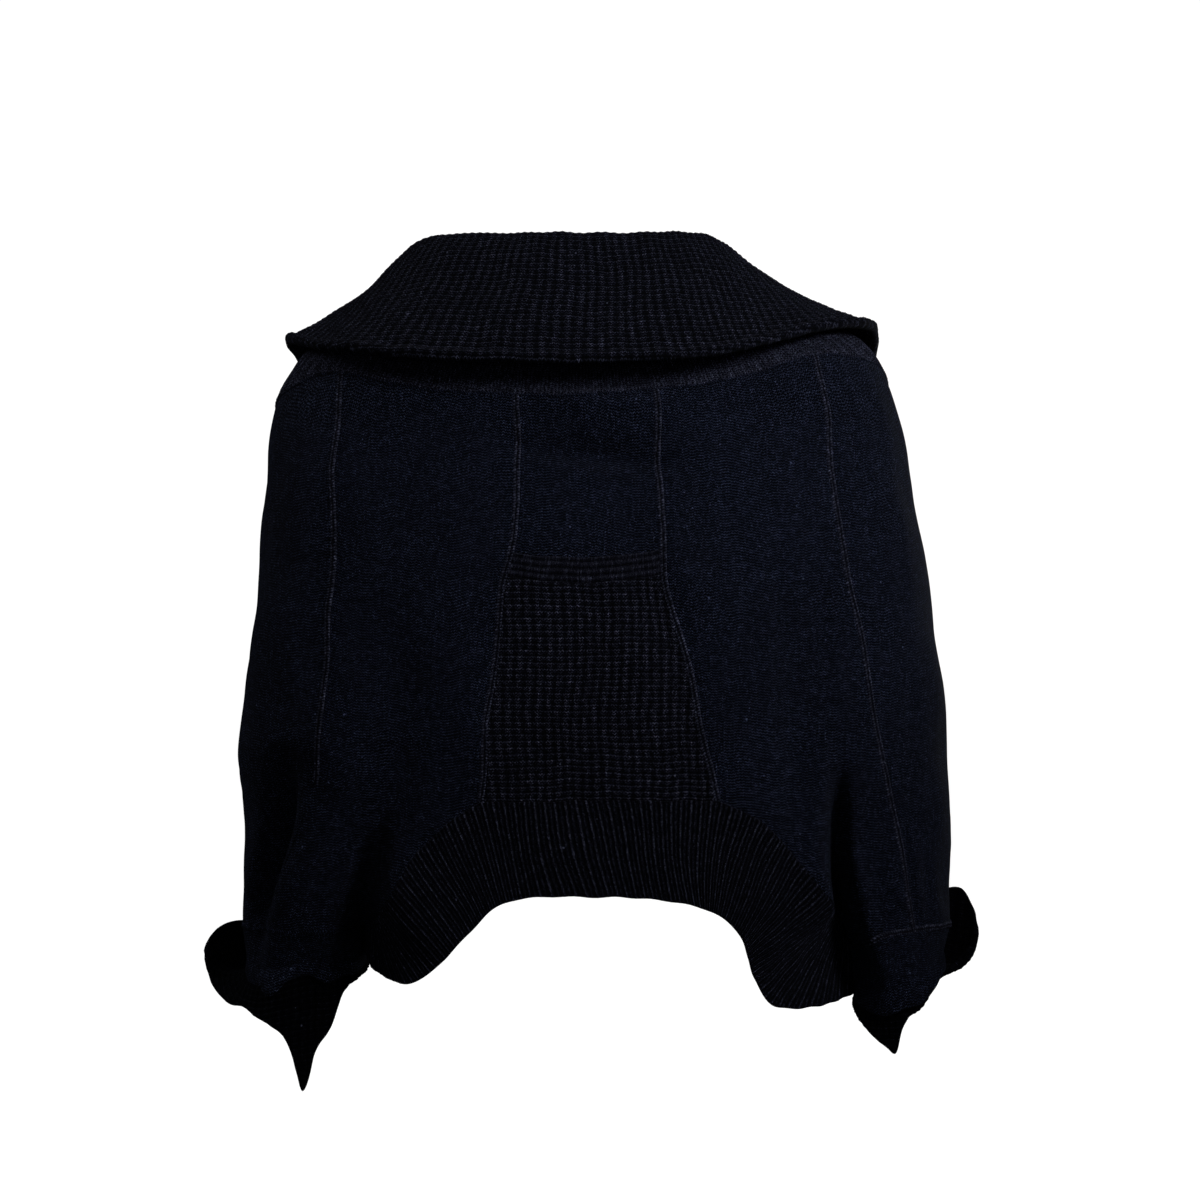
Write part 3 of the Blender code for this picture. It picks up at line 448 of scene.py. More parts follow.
def line_ends(line, side):
    """The drops at which a seam leaves the yoke and ends."""
    start = SEAM_START_DROP
    for _ in range(SEAM_TRIES):
        start = float(yoke_drop(line_theta(line, side, start)))
    ends = {"centre": CENTRE_HEM_DROP, "neck": LOWER_EDGES["front", side]["drop"][0]}
    return start, ends[line] if line in ends else LINES[line, side]["drop"][-1]


def line(name, side, q):
    """Angle and drop of a seam at share q of its way down."""
    drop = mix(*line_ends(name, side), q)
    return np.stack([line_theta(name, side, drop), drop], -1)


def evenly(theta, drop):
    """A curve on the cloth, to be read at even shares of its length."""
    legs = np.linalg.norm(np.diff(cloth(theta, drop), axis=0), axis=1)
    share = np.concatenate([[0], np.cumsum(legs)])
    return {"share": share / share[-1], "theta": theta, "drop": drop, "length": share[-1]}


def read(curve, share):
    return np.stack([np.interp(share, curve["share"], curve[k]) for k in ("theta", "drop")], -1)


def lower_edge(half, side):
    rows = LOWER_EDGES[half, side]
    out = np.linspace(rows["out"][0], rows["out"][-1], FINE)
    drop = spline(out, rows["out"], rows["drop"])
    curve = evenly(theta_at(out, drop, side, half == "front"), drop)
    curve["underarm"] = float(np.interp(UNDERARM_OUT[side], out, curve["share"]))
    return curve


def sleeve_seam(side):
    """The lower edge of a sleeve panel, from the back seam round the arm to the front seam."""
    start, end = (float(line(name, side, 1.0)[0]) for name in ("outer", "front"))
    turn = np.linspace(0, 1, FINE)
    return evenly(mix(start, end, turn), spline(turn, SLEEVE_SEAM["turn"], SLEEVE_SEAM[side]))


def centre_hem():
    left, right = (float(line("centre", side, 1.0)[0]) for side in SIDES)
    theta = np.linspace(left, right, FINE)
    return evenly(theta, np.full(FINE, CENTRE_HEM_DROP))


EDGES = {(half, side): lower_edge(half, side) for half in ("back", "front") for side in SIDES}
EDGES.update({("sleeve", side): sleeve_seam(side) for side in SIDES})
EDGES["centre"] = centre_hem()


def panel(edge, start, end):
    """Angle and drop over a patch between two seams, below the yoke and above a lower edge."""
    ends = [float(line(*seam, 0.0)[0]) for seam in (start, end)]

    def top(a):
        theta = mix(*ends, a)
        return np.stack([theta, yoke_drop(theta)], -1)

    def where(a, b):
        a, b = np.clip(a, 0, 1), np.clip(b, 0, 1)
        across, down = a[..., None], b[..., None]
        upper = mix(top(0.0), top(1.0), across)
        lower = mix(read(edge, 0.0), read(edge, 1.0), across)
        sides = mix(line(*start, b), line(*end, b), across)
        return mix(top(a), read(edge, a), down) + sides - mix(upper, lower, down)

    return where


CENTRE_PANEL = panel(EDGES["centre"], ("centre", "left"), ("centre", "right"))


def centre_where(a, b):
    """The centre back, with the tuck strip hanging a little at its middle."""
    near = np.exp(-(((b - np.mean(TUCK_ROWS)) / TUCK_SAG_SHARE) ** 2))
    sag = TUCK_SAG * near * (1 - (2 * a - 1) ** 2)
    return CENTRE_PANEL(a, b + sag / (CENTRE_HEM_DROP - SEAM_START_DROP))


def yoke_where(a, b):
    """Angle and drop over the yoke; a runs from the right neck edge to the left one."""
    a, b = np.clip(2 * a - 1, -1, 1), np.clip(b, 0, 1)
    side_a = np.abs(a)
    parts = {}
    for side in SIDES:
        low, seam = (float(k) for k in line("neck", side, 0.0))
        high = float(line_theta("neck", side, 0.0))
        straight = mix(high, low, b)
        theta = straight * side_a + (line_theta("neck", side, seam * b) - straight) * side_a
        parts[side] = np.stack([theta, yoke_drop(low * side_a) * b], -1)
    return np.where((a >= 0)[..., None], parts["left"], parts["right"])


# ---- pieces sewn to the lower edges


def cut_share(key):
    """Where the underarm opening begins, before and after the underarm point."""
    curve = EDGES[key]
    half = UNDERARM_OPENING / 2 / curve["length"]
    return curve["underarm"] - half, curve["underarm"] + half


def edge_run(*stretches):
    """Stretches of lower edges joined end to end."""
    places = [read(EDGES[key], np.linspace(first, last, FINE)) for key, first, last in stretches]
    return evenly(*np.concatenate(places).T)


CUT_SHARES = {key: cut_share(key) for key in LOWER_EDGES}
BACK_RUN = edge_run(
    (("back", "left"), CUT_SHARES["back", "left"][0], 0.0),
    ("centre", 0.0, 1.0),
    (("back", "right"), 0.0, CUT_SHARES["back", "right"][0]),
)
FRONT_RUNS = {
    side: edge_run((("front", side), CUT_SHARES["front", side][0], 0.0)) for side in SIDES
}
SLEEVE_RUNS = {
    side: edge_run(
        (("back", side), CUT_SHARES["back", side][1], 1.0),
        (("sleeve", side), 0.0, 1.0),
        (("front", side), 1.0, CUT_SHARES["front", side][1]),
    )
    for side in SIDES
}


def on_run(run, a):
    return cloth_at(read(run, np.clip(a, 0, 1)))


def column_points(rows, a, prefix=""):
    return np.stack([column(rows, prefix + k, a, "share") for k in "xyz"], -1)


def hem_place(run, rows, mirror=1):
    """A hem band from its seam down to its lower edge."""

    def place(a, b):
        low = column_points(rows, np.clip(a, 0, 1)) * (mirror, 1, 1)
        return mix(on_run(run, a), low, b[..., None])

    return place


def sleeve_ring(side, a):
    """The edge of a sleeve's end: its points and the way outwards from it."""
    oval = SLEEVE_OVAL[side]
    turn = 2 * np.pi * a
    x = oval["x"] - oval["wide"] * np.cos(turn)
    y = oval["y"] + oval["deep"] * np.sin(turn)
    z = spline(a, SLEEVE_EDGE["turn"], SLEEVE_EDGE[side])
    out = np.stack([-np.cos(turn), np.sin(turn), 0 * turn], -1)
    flip = (SIDES[side], 1, 1)
    return np.stack([x, y, z], -1) * flip, out * flip


def cuff_place(side):
    rows = CUFF_RIMS[side]

    def place(a, b):
        a = a % 1.0
        ring, out = sleeve_ring(side, a)
        reach, rise = (column(rows, name, a * FULL_TURN, "turn") for name in ("reach", "rise"))
        dip = np.minimum(rise / 2, -CUFF_TURN_DIP - CUFF_TURN_SAG * np.maximum(rise, 0))
        middle = ring + out * (CUFF_MIDDLE_REACH * reach)[..., None] + dip[..., None] * UP
        rim = ring + out * reach[..., None] + rise[..., None] * UP
        b = b[..., None]
        return mix(mix(ring, middle, b), mix(middle, rim, b), b)

    return place


# ---- collar and front bands


def neck_run(side):
    """Half the neckline: from centre back round the neck, then down the front edge to the break."""
    high = float(line_theta("neck", side, 0.0))
    round_neck = np.linspace(0, high, FINE)
    down = np.linspace(0, BREAK_DROP, FINE)[1:]
    theta = np.concatenate([round_neck, line_theta("neck", side, down)])
    return evenly(theta, np.concatenate([0 * round_neck, down]))


NECK_RUNS = {side: neck_run(side) for side in SIDES}


def bezier(a, b, c, d, t):
    ab, bc, cd = mix(a, b, t), mix(b, c, t), mix(c, d, t)
    return mix(mix(ab, bc, t), mix(bc, cd, t), t)


def collar_half(side, a, b):
    """a runs from 0 at centre back to 1 at the break; b from the seam over the fold to the edge."""
    at = read(NECK_RUNS[side], a)
    up = normals(cloth, at[..., 0], at[..., 1])
    seam = cloth_at(at) + up * COLLAR_LIFT
    rows = COLLAR[side]
    flip = (SIDES[side], 1, 1)
    fold, edge = (column_points(rows, a, prefix) * flip for prefix in ("fold_", "edge_"))
    rise = unit(fold - mix(seam, edge, 0.5))
    over = edge - seam
    over = unit(over - (over * rise).sum(-1, keepdims=True) * rise)
    height = np.linalg.norm(fold - seam, axis=-1, keepdims=True)
    rounding, bulge = (column(rows, k, a, "share")[..., None] for k in ("round", "bulge"))
    turn = over * np.minimum(rounding, height * ROUND_LIMIT)
    outward = unit(over + BULGE_RISE * rise) * bulge
    stand_t = np.clip(b / STAND_SHARE, 0, 1)[..., None]
    fall_t = np.clip((b - STAND_SHARE) / (1 - STAND_SHARE), 0, 1)[..., None]
    stand = bezier(seam, seam + up * height * STAND_PULL, fold - turn, fold, stand_t)
    fall = bezier(fold, fold + turn, mix(fold, edge, FALL_PULL) + outward, edge, fall_t)
    return np.where((b <= STAND_SHARE)[..., None], stand, fall)


def collar_place(a, b):
    """The whole collar; a runs from the right break to the left one."""
    a = 2 * a - 1
    sides = {side: collar_half(side, np.clip(a * sign, 0, 1), b) for side, sign in SIDES.items()}
    return np.where((a >= 0)[..., None], sides["left"], sides["right"])


def front_band_place(side):
    def place(a, b):
        drop = mix(BREAK_DROP + BREAK_GAP, FRONT_HEM_DROP, b)
        out = mix(BAND_SEAM_X, FRONT_GAP_HALF, a)
        return cloth(theta_at(out, drop, side, True), drop)

    return place


# ---- knit

WAFFLE_COLUMN, WAFFLE_ROW = 0.0069, 0.0044
RIB, RIB_ROW = 0.0035, 0.0019
TUCK = 0.0050
WALE, COURSE, UNEVEN = 0.0022, 0.0020, 1.0
YOKE_RIB = 0.0028
KNIT_DEPTH = {"waffle": 0.0011, "rib": 0.0008, "tuck": 0.0012}
FINE_SIZE = {  # of the mesh's cells, across and down
    "waffle": (0.0013, 0.0012),
    "rib": (0.0007, 0.0036),
    "jersey": (0.0026, 0.0026),
    "tuck": (0.0016, 0.0006),
    "cuff": (0.0017, 0.0014),
    "collar": (0.00146, 0.00154),
}
SLEEVE_END_SIZE = (0.0022, 0.0014)
COLLAR_LIP = 0.0042  # the radius of the roll along the collar's edge
YOKE_LIP = 0.0022
COLLAR_LAP = 0.0032  # how far the collar reaches into the neck seam
SEAM_FADE = 0.0025  # the knit flattens this near to a seam
WAFFLE_SHARP, RIB_SHARP, TUCK_SHARP = 1.3, 1.2, 1.0
LOW_RIB = 0.28  # how much lower every second rib is, each way from the mean
# A slow unevenness of all the cloth: each size of wave and how far it moves the cloth.
SOFT_WAVES = ((0.085, 0.0012), (0.046, 0.0006), (0.024, 0.00025))
SOFT_REPEATS, SOFT_SEED = 5, 11
STITCH_PITCH = 0.0021
STRIP_HALF, RAIL = 0.0026, 0.62  # and how far out the rails lie


def ridge(x, period, sharp):
    return (0.5 + 0.5 * np.cos(2 * np.pi * x / period)) ** sharp


def waffle(u, v):
    lattice = ridge(u, WAFFLE_COLUMN, WAFFLE_SHARP) + ridge(v, WAFFLE_ROW, WAFFLE_SHARP)
    return KNIT_DEPTH["waffle"] * lattice / 2


def rib(u, v):
    strong = 1 - LOW_RIB + LOW_RIB * np.cos(np.pi * u / RIB)
    return KNIT_DEPTH["rib"] * ridge(u, RIB, RIB_SHARP) * strong


def tucks(u, v):
    return KNIT_DEPTH["tuck"] * ridge(v, TUCK, TUCK_SHARP)


def softness(points):
    """How far the cloth is moved at each point, the same on both sides of every seam."""
    moves = np.zeros(points.shape)
    draws = np.random.default_rng(SOFT_SEED)
    for size, amount in SOFT_WAVES:
        for _ in range(SOFT_REPEATS):
            way = draws.normal(size=3)
            way *= 2 * np.pi / size / np.linalg.norm(way)
            push = draws.normal(size=3) * amount / math.sqrt(SOFT_REPEATS)
            moves += np.sin(points @ way + draws.uniform(0, 2 * np.pi))[..., None] * push
    return moves


# ---- cloth pieces

BODY_CENTRE = (0.0, -0.01)
ROUGH_GRID = (60, 30)  # points across and down, to measure a piece with
RIM_LINES = np.array([0.0, 0.35, 1.0])  # where grid lines cross the rounding of a rim
RIM_RELIEF = 0.4  # of the knit's height, kept at a rim
INSET = 2  # grid lines between a rim and the edge of the inner face
COARSE = 5  # outer lines for each inner one


def lengths(points, axis):
    legs = np.linalg.norm(np.diff(points, axis=axis), axis=-1)
    start = np.zeros_like(legs.take([0], axis))
    return np.concatenate([start, np.cumsum(legs, axis=axis)], axis=axis)


def lines(length, size, rim):
    """Shares for the lines of a grid: two close to each end, then even ones."""
    near = RIM_LINES * rim / length
    even = np.linspace(near[-1], 1 - near[-1], max(3, round((length - 2 * rim) / size) + 1))
    return np.concatenate([near[:-1], even, 1 - near[-2::-1]])


def grid_normals(points, ring):
    if ring:
        across = np.roll(points, -1, 0) - np.roll(points, 1, 0)
    else:
        across = np.gradient(points, axis=0)
    return unit(np.cross(across, np.gradient(points, axis=1)))


def cells(grid, flip):
    """The four corners of each cell of a grid."""
    corners = [grid[:-1, :-1], grid[1:, :-1], grid[1:, 1:], grid[:-1, 1:]]
    return np.stack(corners[::-1] if flip else corners, 2)


def close_wall(outer, inner, at, step, facing):
    """Joins the outer face to every few lines of the inner face, by strips along the rims.

    at is each point's place in the knit. Round a ring it has one line more than the points.
    Returns the vertices, the faces and the place in the knit of each face's corners.
    """
    n, m = outer.shape[:2]
    ring = len(at) > n
    rows = [*range(INSET, m - INSET - 1, step), m - INSET - 1]
    columns = [*range(0, n, step)] if ring else [*range(INSET, n - INSET - 1, step), n - INSET - 1]
    kept = inner[np.ix_(columns, rows)]
    vertices = np.concatenate([outer.reshape(-1, 3), kept.reshape(-1, 3)])
    index = np.arange(n * m).reshape(n, m)
    deep = np.full((n, m), -1)
    deep[np.ix_(columns, rows)] = np.arange(n * m, len(vertices)).reshape(len(columns), -1)
    if ring:
        index, deep = (np.concatenate([k, k[:1]]) for k in (index, deep))
        columns.append(n)

    faces, spots = [], []
    within = np.ix_(columns, rows)
    for ids, places, flip in ((index, at, facing < 0), (deep[within], at[within], facing > 0)):
        faces.extend(cells(ids, flip).reshape(-1, 4).tolist())
        spots.append(cells(places, flip).reshape(-1, 2))

    def strip(outside, inside):
        """One face between a run of rim vertices and the inner face's edge."""
        faces.append([*(int(index[k]) for k in outside), *(int(deep[k]) for k in inside)])
        spots.append(np.array([at[k] for k in (*outside, *inside)]))

    for j, row, way in ((0, rows[0], -facing), (m - 1, rows[-1], facing)):
        for i, k in zip(columns[:-1], columns[1:]):
            strip([(p, j) for p in range(i, k + 1)][::way], [(k, row), (i, row)][::way])
    if ring:
        return vertices, faces, np.concatenate(spots)
    for i, col, way in ((0, columns[0], facing), (n - 1, columns[-1], -facing)):
        for j, k in zip(rows[:-1], rows[1:]):
            strip([(i, p) for p in range(j, k + 1)][::way], [(col, k), (col, j)][::way])
    for i, col, to_side in ((0, columns[0], -1), (n - 1, columns[-1], 1)):
        for j, row, to_row in ((0, rows[0], 1), (m - 1, rows[-1], -1)):
            rim = [(p, j) for p in range(col, i + to_side, to_side)]
            rim += [(i, p) for p in range(j + to_row, row + to_row, to_row)]
            strip(rim[::-1] if to_side * to_row * facing > 0 else rim, [(col, row)])
    return vertices, faces, np.concatenate(spots)


def shell(node, place, wall, size, material, slot, knit=None, uv=None, free=(), ring=False,
          both=False, centre=BODY_CENTRE, facing=None, coarse=COARSE, spread=None, lip=0.0,
          lap=SEAM_LAP):
    """A closed cloth wall: a fine outer face with its knit, a round rim, a coarser inner face."""
    a, b = (np.linspace(0, 1, count) for count in ROUGH_GRID)
    rough = place(a[:, None], b[None, :])
    wide, long = lengths(rough, 0)[-1].mean(), lengths(rough, 1)[:, -1].max()
    rim = wall / 2
    count = round(wide / size[0])
    a = np.arange(count) / count if ring else lines(wide, size[0], rim)
    b = lines(long, size[1], rim)
    a, b = a[:, None], (spread(b) if spread else b)[None, :]
    points = place(a, b)
    u, v = np.broadcast_arrays(*(uv(a, b) if uv else (a * wide + 0 * b, lengths(points, 1))))
    out = grid_normals(points, ring)
    if facing is None:
        facing = int(np.sign(((points - (*centre, 0.0)) * out)[..., :2].sum()))
    out = out * facing
    points[:, 0] -= unit(points[:, 1] - points[:, 0]) * lap
    if "bottom" not in free:
        points[:, -1] -= unit(points[:, -2] - points[:, -1]) * SEAM_LAP
    if not ring:
        points[0] -= unit(points[1] - points[0]) * SEAM_LAP
        points[-1] -= unit(points[-2] - points[-1]) * SEAM_LAP
    down, along = lengths(points, 1), lengths(points, 0)
    to_edge = {"top": down, "bottom": down[:, -1:] - down}
    if not ring:
        to_edge.update({"first": along, "last": along[-1:] - along})
    nearest = np.minimum.reduce(list(to_edge.values()))
    round_rim = np.sqrt(1 - (1 - np.clip(nearest / rim, 0, 1)) ** 2)[..., None]
    raised = knit(u, v) if knit else 0 * u
    for edge, gap in to_edge.items():
        if edge not in free:
            share = np.clip(gap / SEAM_FADE, 0, 1)
            raised = raised * share * share * (3 - 2 * share)
    raised = raised[..., None]
    points = points + softness(points)
    half = rim * round_rim
    if lip:
        roll = np.clip(to_edge["bottom"][..., None] / lip, 0, 2)
        half = np.maximum(half, lip * np.sqrt(np.clip(roll * (2 - roll), 0, 1)))
    outer = points + out * (half + raised * mix(RIM_RELIEF, 1, round_rim))
    inner = points - out * (half + (raised if both else 0))
    at = np.stack([u, v], -1)
    if ring:
        at = np.concatenate([at, at[:1] + (wide, 0)])
    wall_mesh = close_wall(outer, inner, at, 1 if both else coarse, facing)
    piece = mesh_piece(f"{node}_cloth", *wall_mesh, material)
    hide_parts(node)
    return piece


def mesh_piece(name, vertices, faces, spots, material):
    mesh = bpy.data.meshes.new(name)
    mesh.from_pydata(vertices.tolist(), [], faces)
    mesh.uv_layers.new(name="knit").data.foreach_set("uv", np.asarray(spots, float).ravel())
    mesh.shade_smooth()
    mesh.materials.append(material)
    piece = bpy.data.objects.new(name, mesh)
    bpy.context.scene.collection.objects.link(piece)
    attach(piece, "root")
    return piece


# A raised flat seam: heights of its base, strip, rails and rungs, and points a stitch and across.
STRIP_SINK, STRIP_HIGH, RAIL_HIGH, RUNG_HIGH = 0.0004, 0.0010, 0.00045, 0.00035
STITCH_STEPS, STRIP_POINTS, LEAST_POINTS = 4, 10, 8
RAIL_WIDTH, RAIL_WAVE, RUNG_SLANT = 0.2, 0.25, 0.4


def coverstitch(name, theta, drop, material, half=STRIP_HALF, lift=1.0):
    """A raised flat seam, two rails joined by slanting rungs, along a curve on the cloth."""
    path = evenly(theta, drop)
    count = max(LEAST_POINTS, round(path["length"] / STITCH_PITCH * STITCH_STEPS))
    at = read(path, np.linspace(0, 1, count))
    base, out = cloth_at(at), normals(cloth, *at.T)
    out = out * np.sign((out * (base - (*BODY_CENTRE, 0.0)))[:, :2].sum())
    side = unit(np.cross(out, np.gradient(base, axis=0)))
    base = base + softness(base)
    t = np.linspace(-1, 1, STRIP_POINTS)[None, :]
    s = np.arange(count)[:, None] / STITCH_STEPS
    rails = np.exp(-(((np.abs(t) - RAIL) / RAIL_WIDTH) ** 2))
    rails = rails * (1 - RAIL_WAVE + RAIL_WAVE * np.cos(2 * np.pi * s))
    rungs = np.exp(-((t / RAIL) ** 4)) * ridge(s + RUNG_SLANT * t, 1, 1)
    height = STRIP_HIGH * (1 - t**6) + RAIL_HIGH * rails + RUNG_HIGH * rungs
    height = JERSEY_WALL / 2 - STRIP_SINK + lift * height
    across, high = (t * half)[..., None], height[..., None]
    points = base[:, None] + side[:, None] * across + out[:, None] * high
    ids = np.arange(count * t.size).reshape(count, t.size)
    quads = cells(ids, False).reshape(-1, 4)
    spot = np.stack(np.broadcast_arrays(t * half, s * STITCH_PITCH), -1).reshape(-1, 2)
    piece = mesh_piece(name, points.reshape(-1, 3), quads.tolist(), spot[quads.ravel()], material)
    return piece


# ---- materials


def plug(tree, node, inputs):
    """Links or sets a node's inputs, by name or by number."""
    for key, value in inputs.items():
        value = getattr(value, "socket", value)
        if isinstance(value, bpy.types.NodeSocket):
            tree.links.new(value, node.inputs[key])
        else:
            node.inputs[key].default_value = value


class Signal:
    """A value in a shader's nodes, so that patterns can be written as formulas."""

    def __init__(self, tree, socket):
        self.tree, self.socket = tree, socket

    def maths(self, operation, *values):
        node = self.tree.nodes.new("ShaderNodeMath")
        node.operation = operation
        plug(self.tree, node, dict(enumerate((self, *values))))
        return Signal(self.tree, node.outputs[0])

    def __add__(self, other):
        return self.maths("ADD", other)

    def __mul__(self, other):
        return self.maths("MULTIPLY", other)

    def __truediv__(self, other):
        return self.maths("DIVIDE", other)

    def __pow__(self, power):
        return self.maths("POWER", power)

    def scaled(self, gain, base):
        return self.maths("MULTIPLY_ADD", gain, base)

    def wave(self, period):
        """From 1 down to 0 and back once a period."""
        return self.scaled(2 * math.pi / period, 0.0).maths("COSINE").scaled(0.5, 0.5)


def noise(tree, scale, detail):
    place = tree.nodes.new("ShaderNodeTexCoord")
    node = tree.nodes.new("ShaderNodeTexNoise")
    plug(tree, node, {"Scale": scale, "Detail": detail, "Vector": place.outputs["Object"]})
    return Signal(tree, node.outputs["Fac"])


def white_noise(across, down):
    """A chance number for each whole step across and down."""
    tree = across.tree
    cell = tree.nodes.new("ShaderNodeCombineXYZ")
    plug(tree, cell, {0: across.maths("FLOOR"), 1: down.maths("FLOOR")})
    chance = tree.nodes.new("ShaderNodeTexWhiteNoise")
    chance.noise_dimensions = "2D"
    plug(tree, chance, {"Vector": cell.outputs[0]})
    return Signal(tree, chance.outputs["Value"])


STITCH_SLOPE, STITCH_SHARP = 1.1, 2.0  # rows that a stitch's legs rise by, and its roundness
LATTICE_SHARP, RIB_TIP_SHARP, PIPE_SHARP, YOKE_RIB_SHARE = 1.7, 2.6, 1.5, 0.4


def stitches(u, v, wale, course, uneven=0.0):
    """Wales of V-shaped stitches: their height, and a chance number for each leg of each stitch.

    Uneven sets how far, in rows, one wale stands above the next.
    """
    across = u / wale
    row = v / course + across.maths("PINGPONG", 0.5) * STITCH_SLOPE
    if uneven:
        row = white_noise(across, across).scaled(uneven, row)
    height = across.wave(0.5).scaled(-0.5, 1.0) * row.wave(1.0) ** STITCH_SHARP
    return height, white_noise(across * 2.0, row)


def jersey_stitches(u, v):
    return stitches(u, v, WALE, COURSE, UNEVEN)


def waffle_stitches(u, v):
    """A lattice of ribs and bars, high where they cross, made of small stitches."""
    lattice = ((u.wave(WAFFLE_COLUMN) + v.wave(WAFFLE_ROW)) * 0.5) ** LATTICE_SHARP
    fine, chance = stitches(u, v, WAFFLE_COLUMN / 3, WAFFLE_ROW / 2)
    return lattice * fine.scaled(2.0, 0.05), chance


def rib_stitches(u, v):
    """Ribs, every second one lower, crossed by fine rows."""
    ribs = u.wave(RIB) ** RIB_TIP_SHARP * u.wave(2 * RIB).scaled(0.65, 0.35)
    return ribs * v.wave(RIB_ROW).scaled(0.4, 0.6), stitches(u, v, RIB / 2, RIB_ROW)[1]


def yoke_stitches(u, v):
    """A fine rib."""
    fine, chance = stitches(u, v, YOKE_RIB, COURSE, UNEVEN)
    return fine + u.wave(YOKE_RIB) * YOKE_RIB_SHARE, chance


def tuck_stitches(u, v):
    """Rows of stitches standing up as piping."""
    fine, chance = stitches(u, v, WALE, TUCK)
    return v.wave(TUCK) ** PIPE_SHARP * fine.scaled(0.5, 0.6), chance


def thread_stitches(u, v):
    """Two rails and the slanting rungs between them."""
    rails = u.wave(2 * RAIL * STRIP_HALF).scaled(-1.0, 1.0)
    rungs = u.scaled(RUNG_SLANT / STRIP_HALF, v / STITCH_PITCH).wave(1.0)
    return rails * rungs.scaled(0.95, 0.05), stitches(u, v, STRIP_HALF, STITCH_PITCH)[1]


LINT_CELLS, LINT_SIZE, LINT_TONE = 22.0, 0.0009, 5.0  # specks a metre, size, and how pale
FUZZ_SCALE, FUZZ_GAIN, FUZZ_SHARP, FUZZ_BUMP = 2600.0, 1.6, 4.0, 0.35
PATCH_SCALE, CHANCE_SHARP, BUMP_STRENGTH = 14.0, 3.0, 0.9
WOBBLES = {"stitch": (1.7, 0.25), "fuzz": (1.9, 0.5), "patch": (0.4, 0.5)}  # share and mean
SURFACE = {
    "Roughness": 0.9,
    "Specular IOR Level": 0.01,
    "Sheen Weight": 0.012,
    "Sheen Roughness": 0.35,
    "Sheen Tint": (0.6, 0.68, 0.9, 1),
}
# The colour of the deepest dips, the dark end of the stitches' painted shade.
BLACK = (0.0004, 0.0004, 0.0006, 1)
NAVY, INK = (0.0100, 0.0123, 0.0235, 1), (0.0112, 0.0120, 0.0200, 1)
KNITS = {
    # stitches, bump depth, colour of the tips, their share of it in the dips and on the tips:
    # painted shade in the dips and painted highlight on the raised stitches
    "jersey": (jersey_stitches, 0.0004, NAVY, (0.03, 1.8)),
    "tuck": (tuck_stitches, 0.0006, INK, (0.30, 1.2)),
    "waffle": (waffle_stitches, 0.0006, INK, (0.10, 1.95)),
    "collar": (waffle_stitches, 0.0006, INK, (0.06, 2.0)),
    # The cuffs are the waffle knit painted far darker: painted shade, for they hang in shadow.
    "cuff": (waffle_stitches, 0.0006, INK, (0.02, 0.30)),
    "rib": (rib_stitches, 0.0005, INK, (0.12, 1.70)),
    "yoke": (yoke_stitches, 0.0005, INK, (0.13, 2.1)),
    "thread": (thread_stitches, 0.0004, INK, (0.25, 2.6)),
}


def lint(tree, at):
    """A few pale specks of fluff, of uneven size."""
    specks = tree.nodes.new("ShaderNodeTexVoronoi")
    specks.voronoi_dimensions = "2D"
    plug(tree, specks, {"Scale": LINT_CELLS, "Vector": at})
    size = Signal(tree, specks.outputs["Color"]) * (LINT_SIZE * LINT_CELLS)
    return Signal(tree, specks.outputs["Distance"]).maths("LESS_THAN", size) * LINT_TONE


def knit_material(name):
    pattern, depth, tips, (dip_shade, tip_highlight) = KNITS[name]
    material = bpy.data.materials.new(f"{name}_wool")
    material.use_nodes = True
    tree = material.node_tree
    uv = tree.nodes.new("ShaderNodeUVMap")
    uv.uv_map = "knit"
    axes = tree.nodes.new("ShaderNodeSeparateXYZ")
    plug(tree, axes, {0: uv.outputs[0]})
    height, chance = pattern(*(Signal(tree, axes.outputs[k]) for k in (0, 1)))
    fuzz = (noise(tree, FUZZ_SCALE, detail=0.0) * FUZZ_GAIN) ** FUZZ_SHARP
    patches = noise(tree, PATCH_SCALE, detail=2.0)
    wobbles = {"stitch": chance**CHANCE_SHARP, "fuzz": fuzz, "patch": patches}
    # The colour follows the knit's height: painted shade in the dips and painted highlight on the
    # raised stitches.
    tone = height.scaled(tip_highlight - dip_shade, dip_shade)
    for kind, wobble in wobbles.items():
        share, mean = WOBBLES[kind]
        tone = tone * wobble.scaled(share, 1 - share * mean)
    mixer = tree.nodes.new("ShaderNodeMix")
    mixer.data_type = "RGBA"
    mixer.clamp_factor = False
    ends = [k for k, socket in enumerate(mixer.inputs) if socket.type == "RGBA"]
    factor = tone + lint(tree, uv.outputs[0])
    plug(tree, mixer, {"Factor": factor, ends[0]: BLACK, ends[1]: tips})
    colour = next(socket for socket in mixer.outputs if socket.type == "RGBA")
    bump = tree.nodes.new("ShaderNodeBump")
    relief = fuzz.scaled(FUZZ_BUMP, height)
    plug(tree, bump, {"Strength": BUMP_STRENGTH, "Distance": depth, "Height": relief})
    look = {"Base Color": colour, "Normal": bump.outputs[0], **SURFACE}
    plug(tree, tree.nodes["Principled BSDF"], look)
    return material


# ---- the cardigan

RING_POINTS, WALE_DROP = 1441, 0.25  # the wales are spaced round the cloth at this drop
WALE_RING = evenly(np.linspace(-math.pi, math.pi, RING_POINTS), np.full(RING_POINTS, WALE_DROP))
WALE_RING["along"] = (WALE_RING["share"] - 0.5) * WALE_RING["length"]


def down_the_wales(where):
    """The knit of a panel runs straight down the cloth."""

    def uv(a, b):
        at = where(a, b)
        return np.interp(at[..., 0], WALE_RING["theta"], WALE_RING["along"]), at[..., 1]

    return uv


def on_cloth(where):
    return lambda a, b: cloth_at(where(a, b))


def rows_of(where, low, high):
    return lambda a, b: where(a, mix(low, high, b))


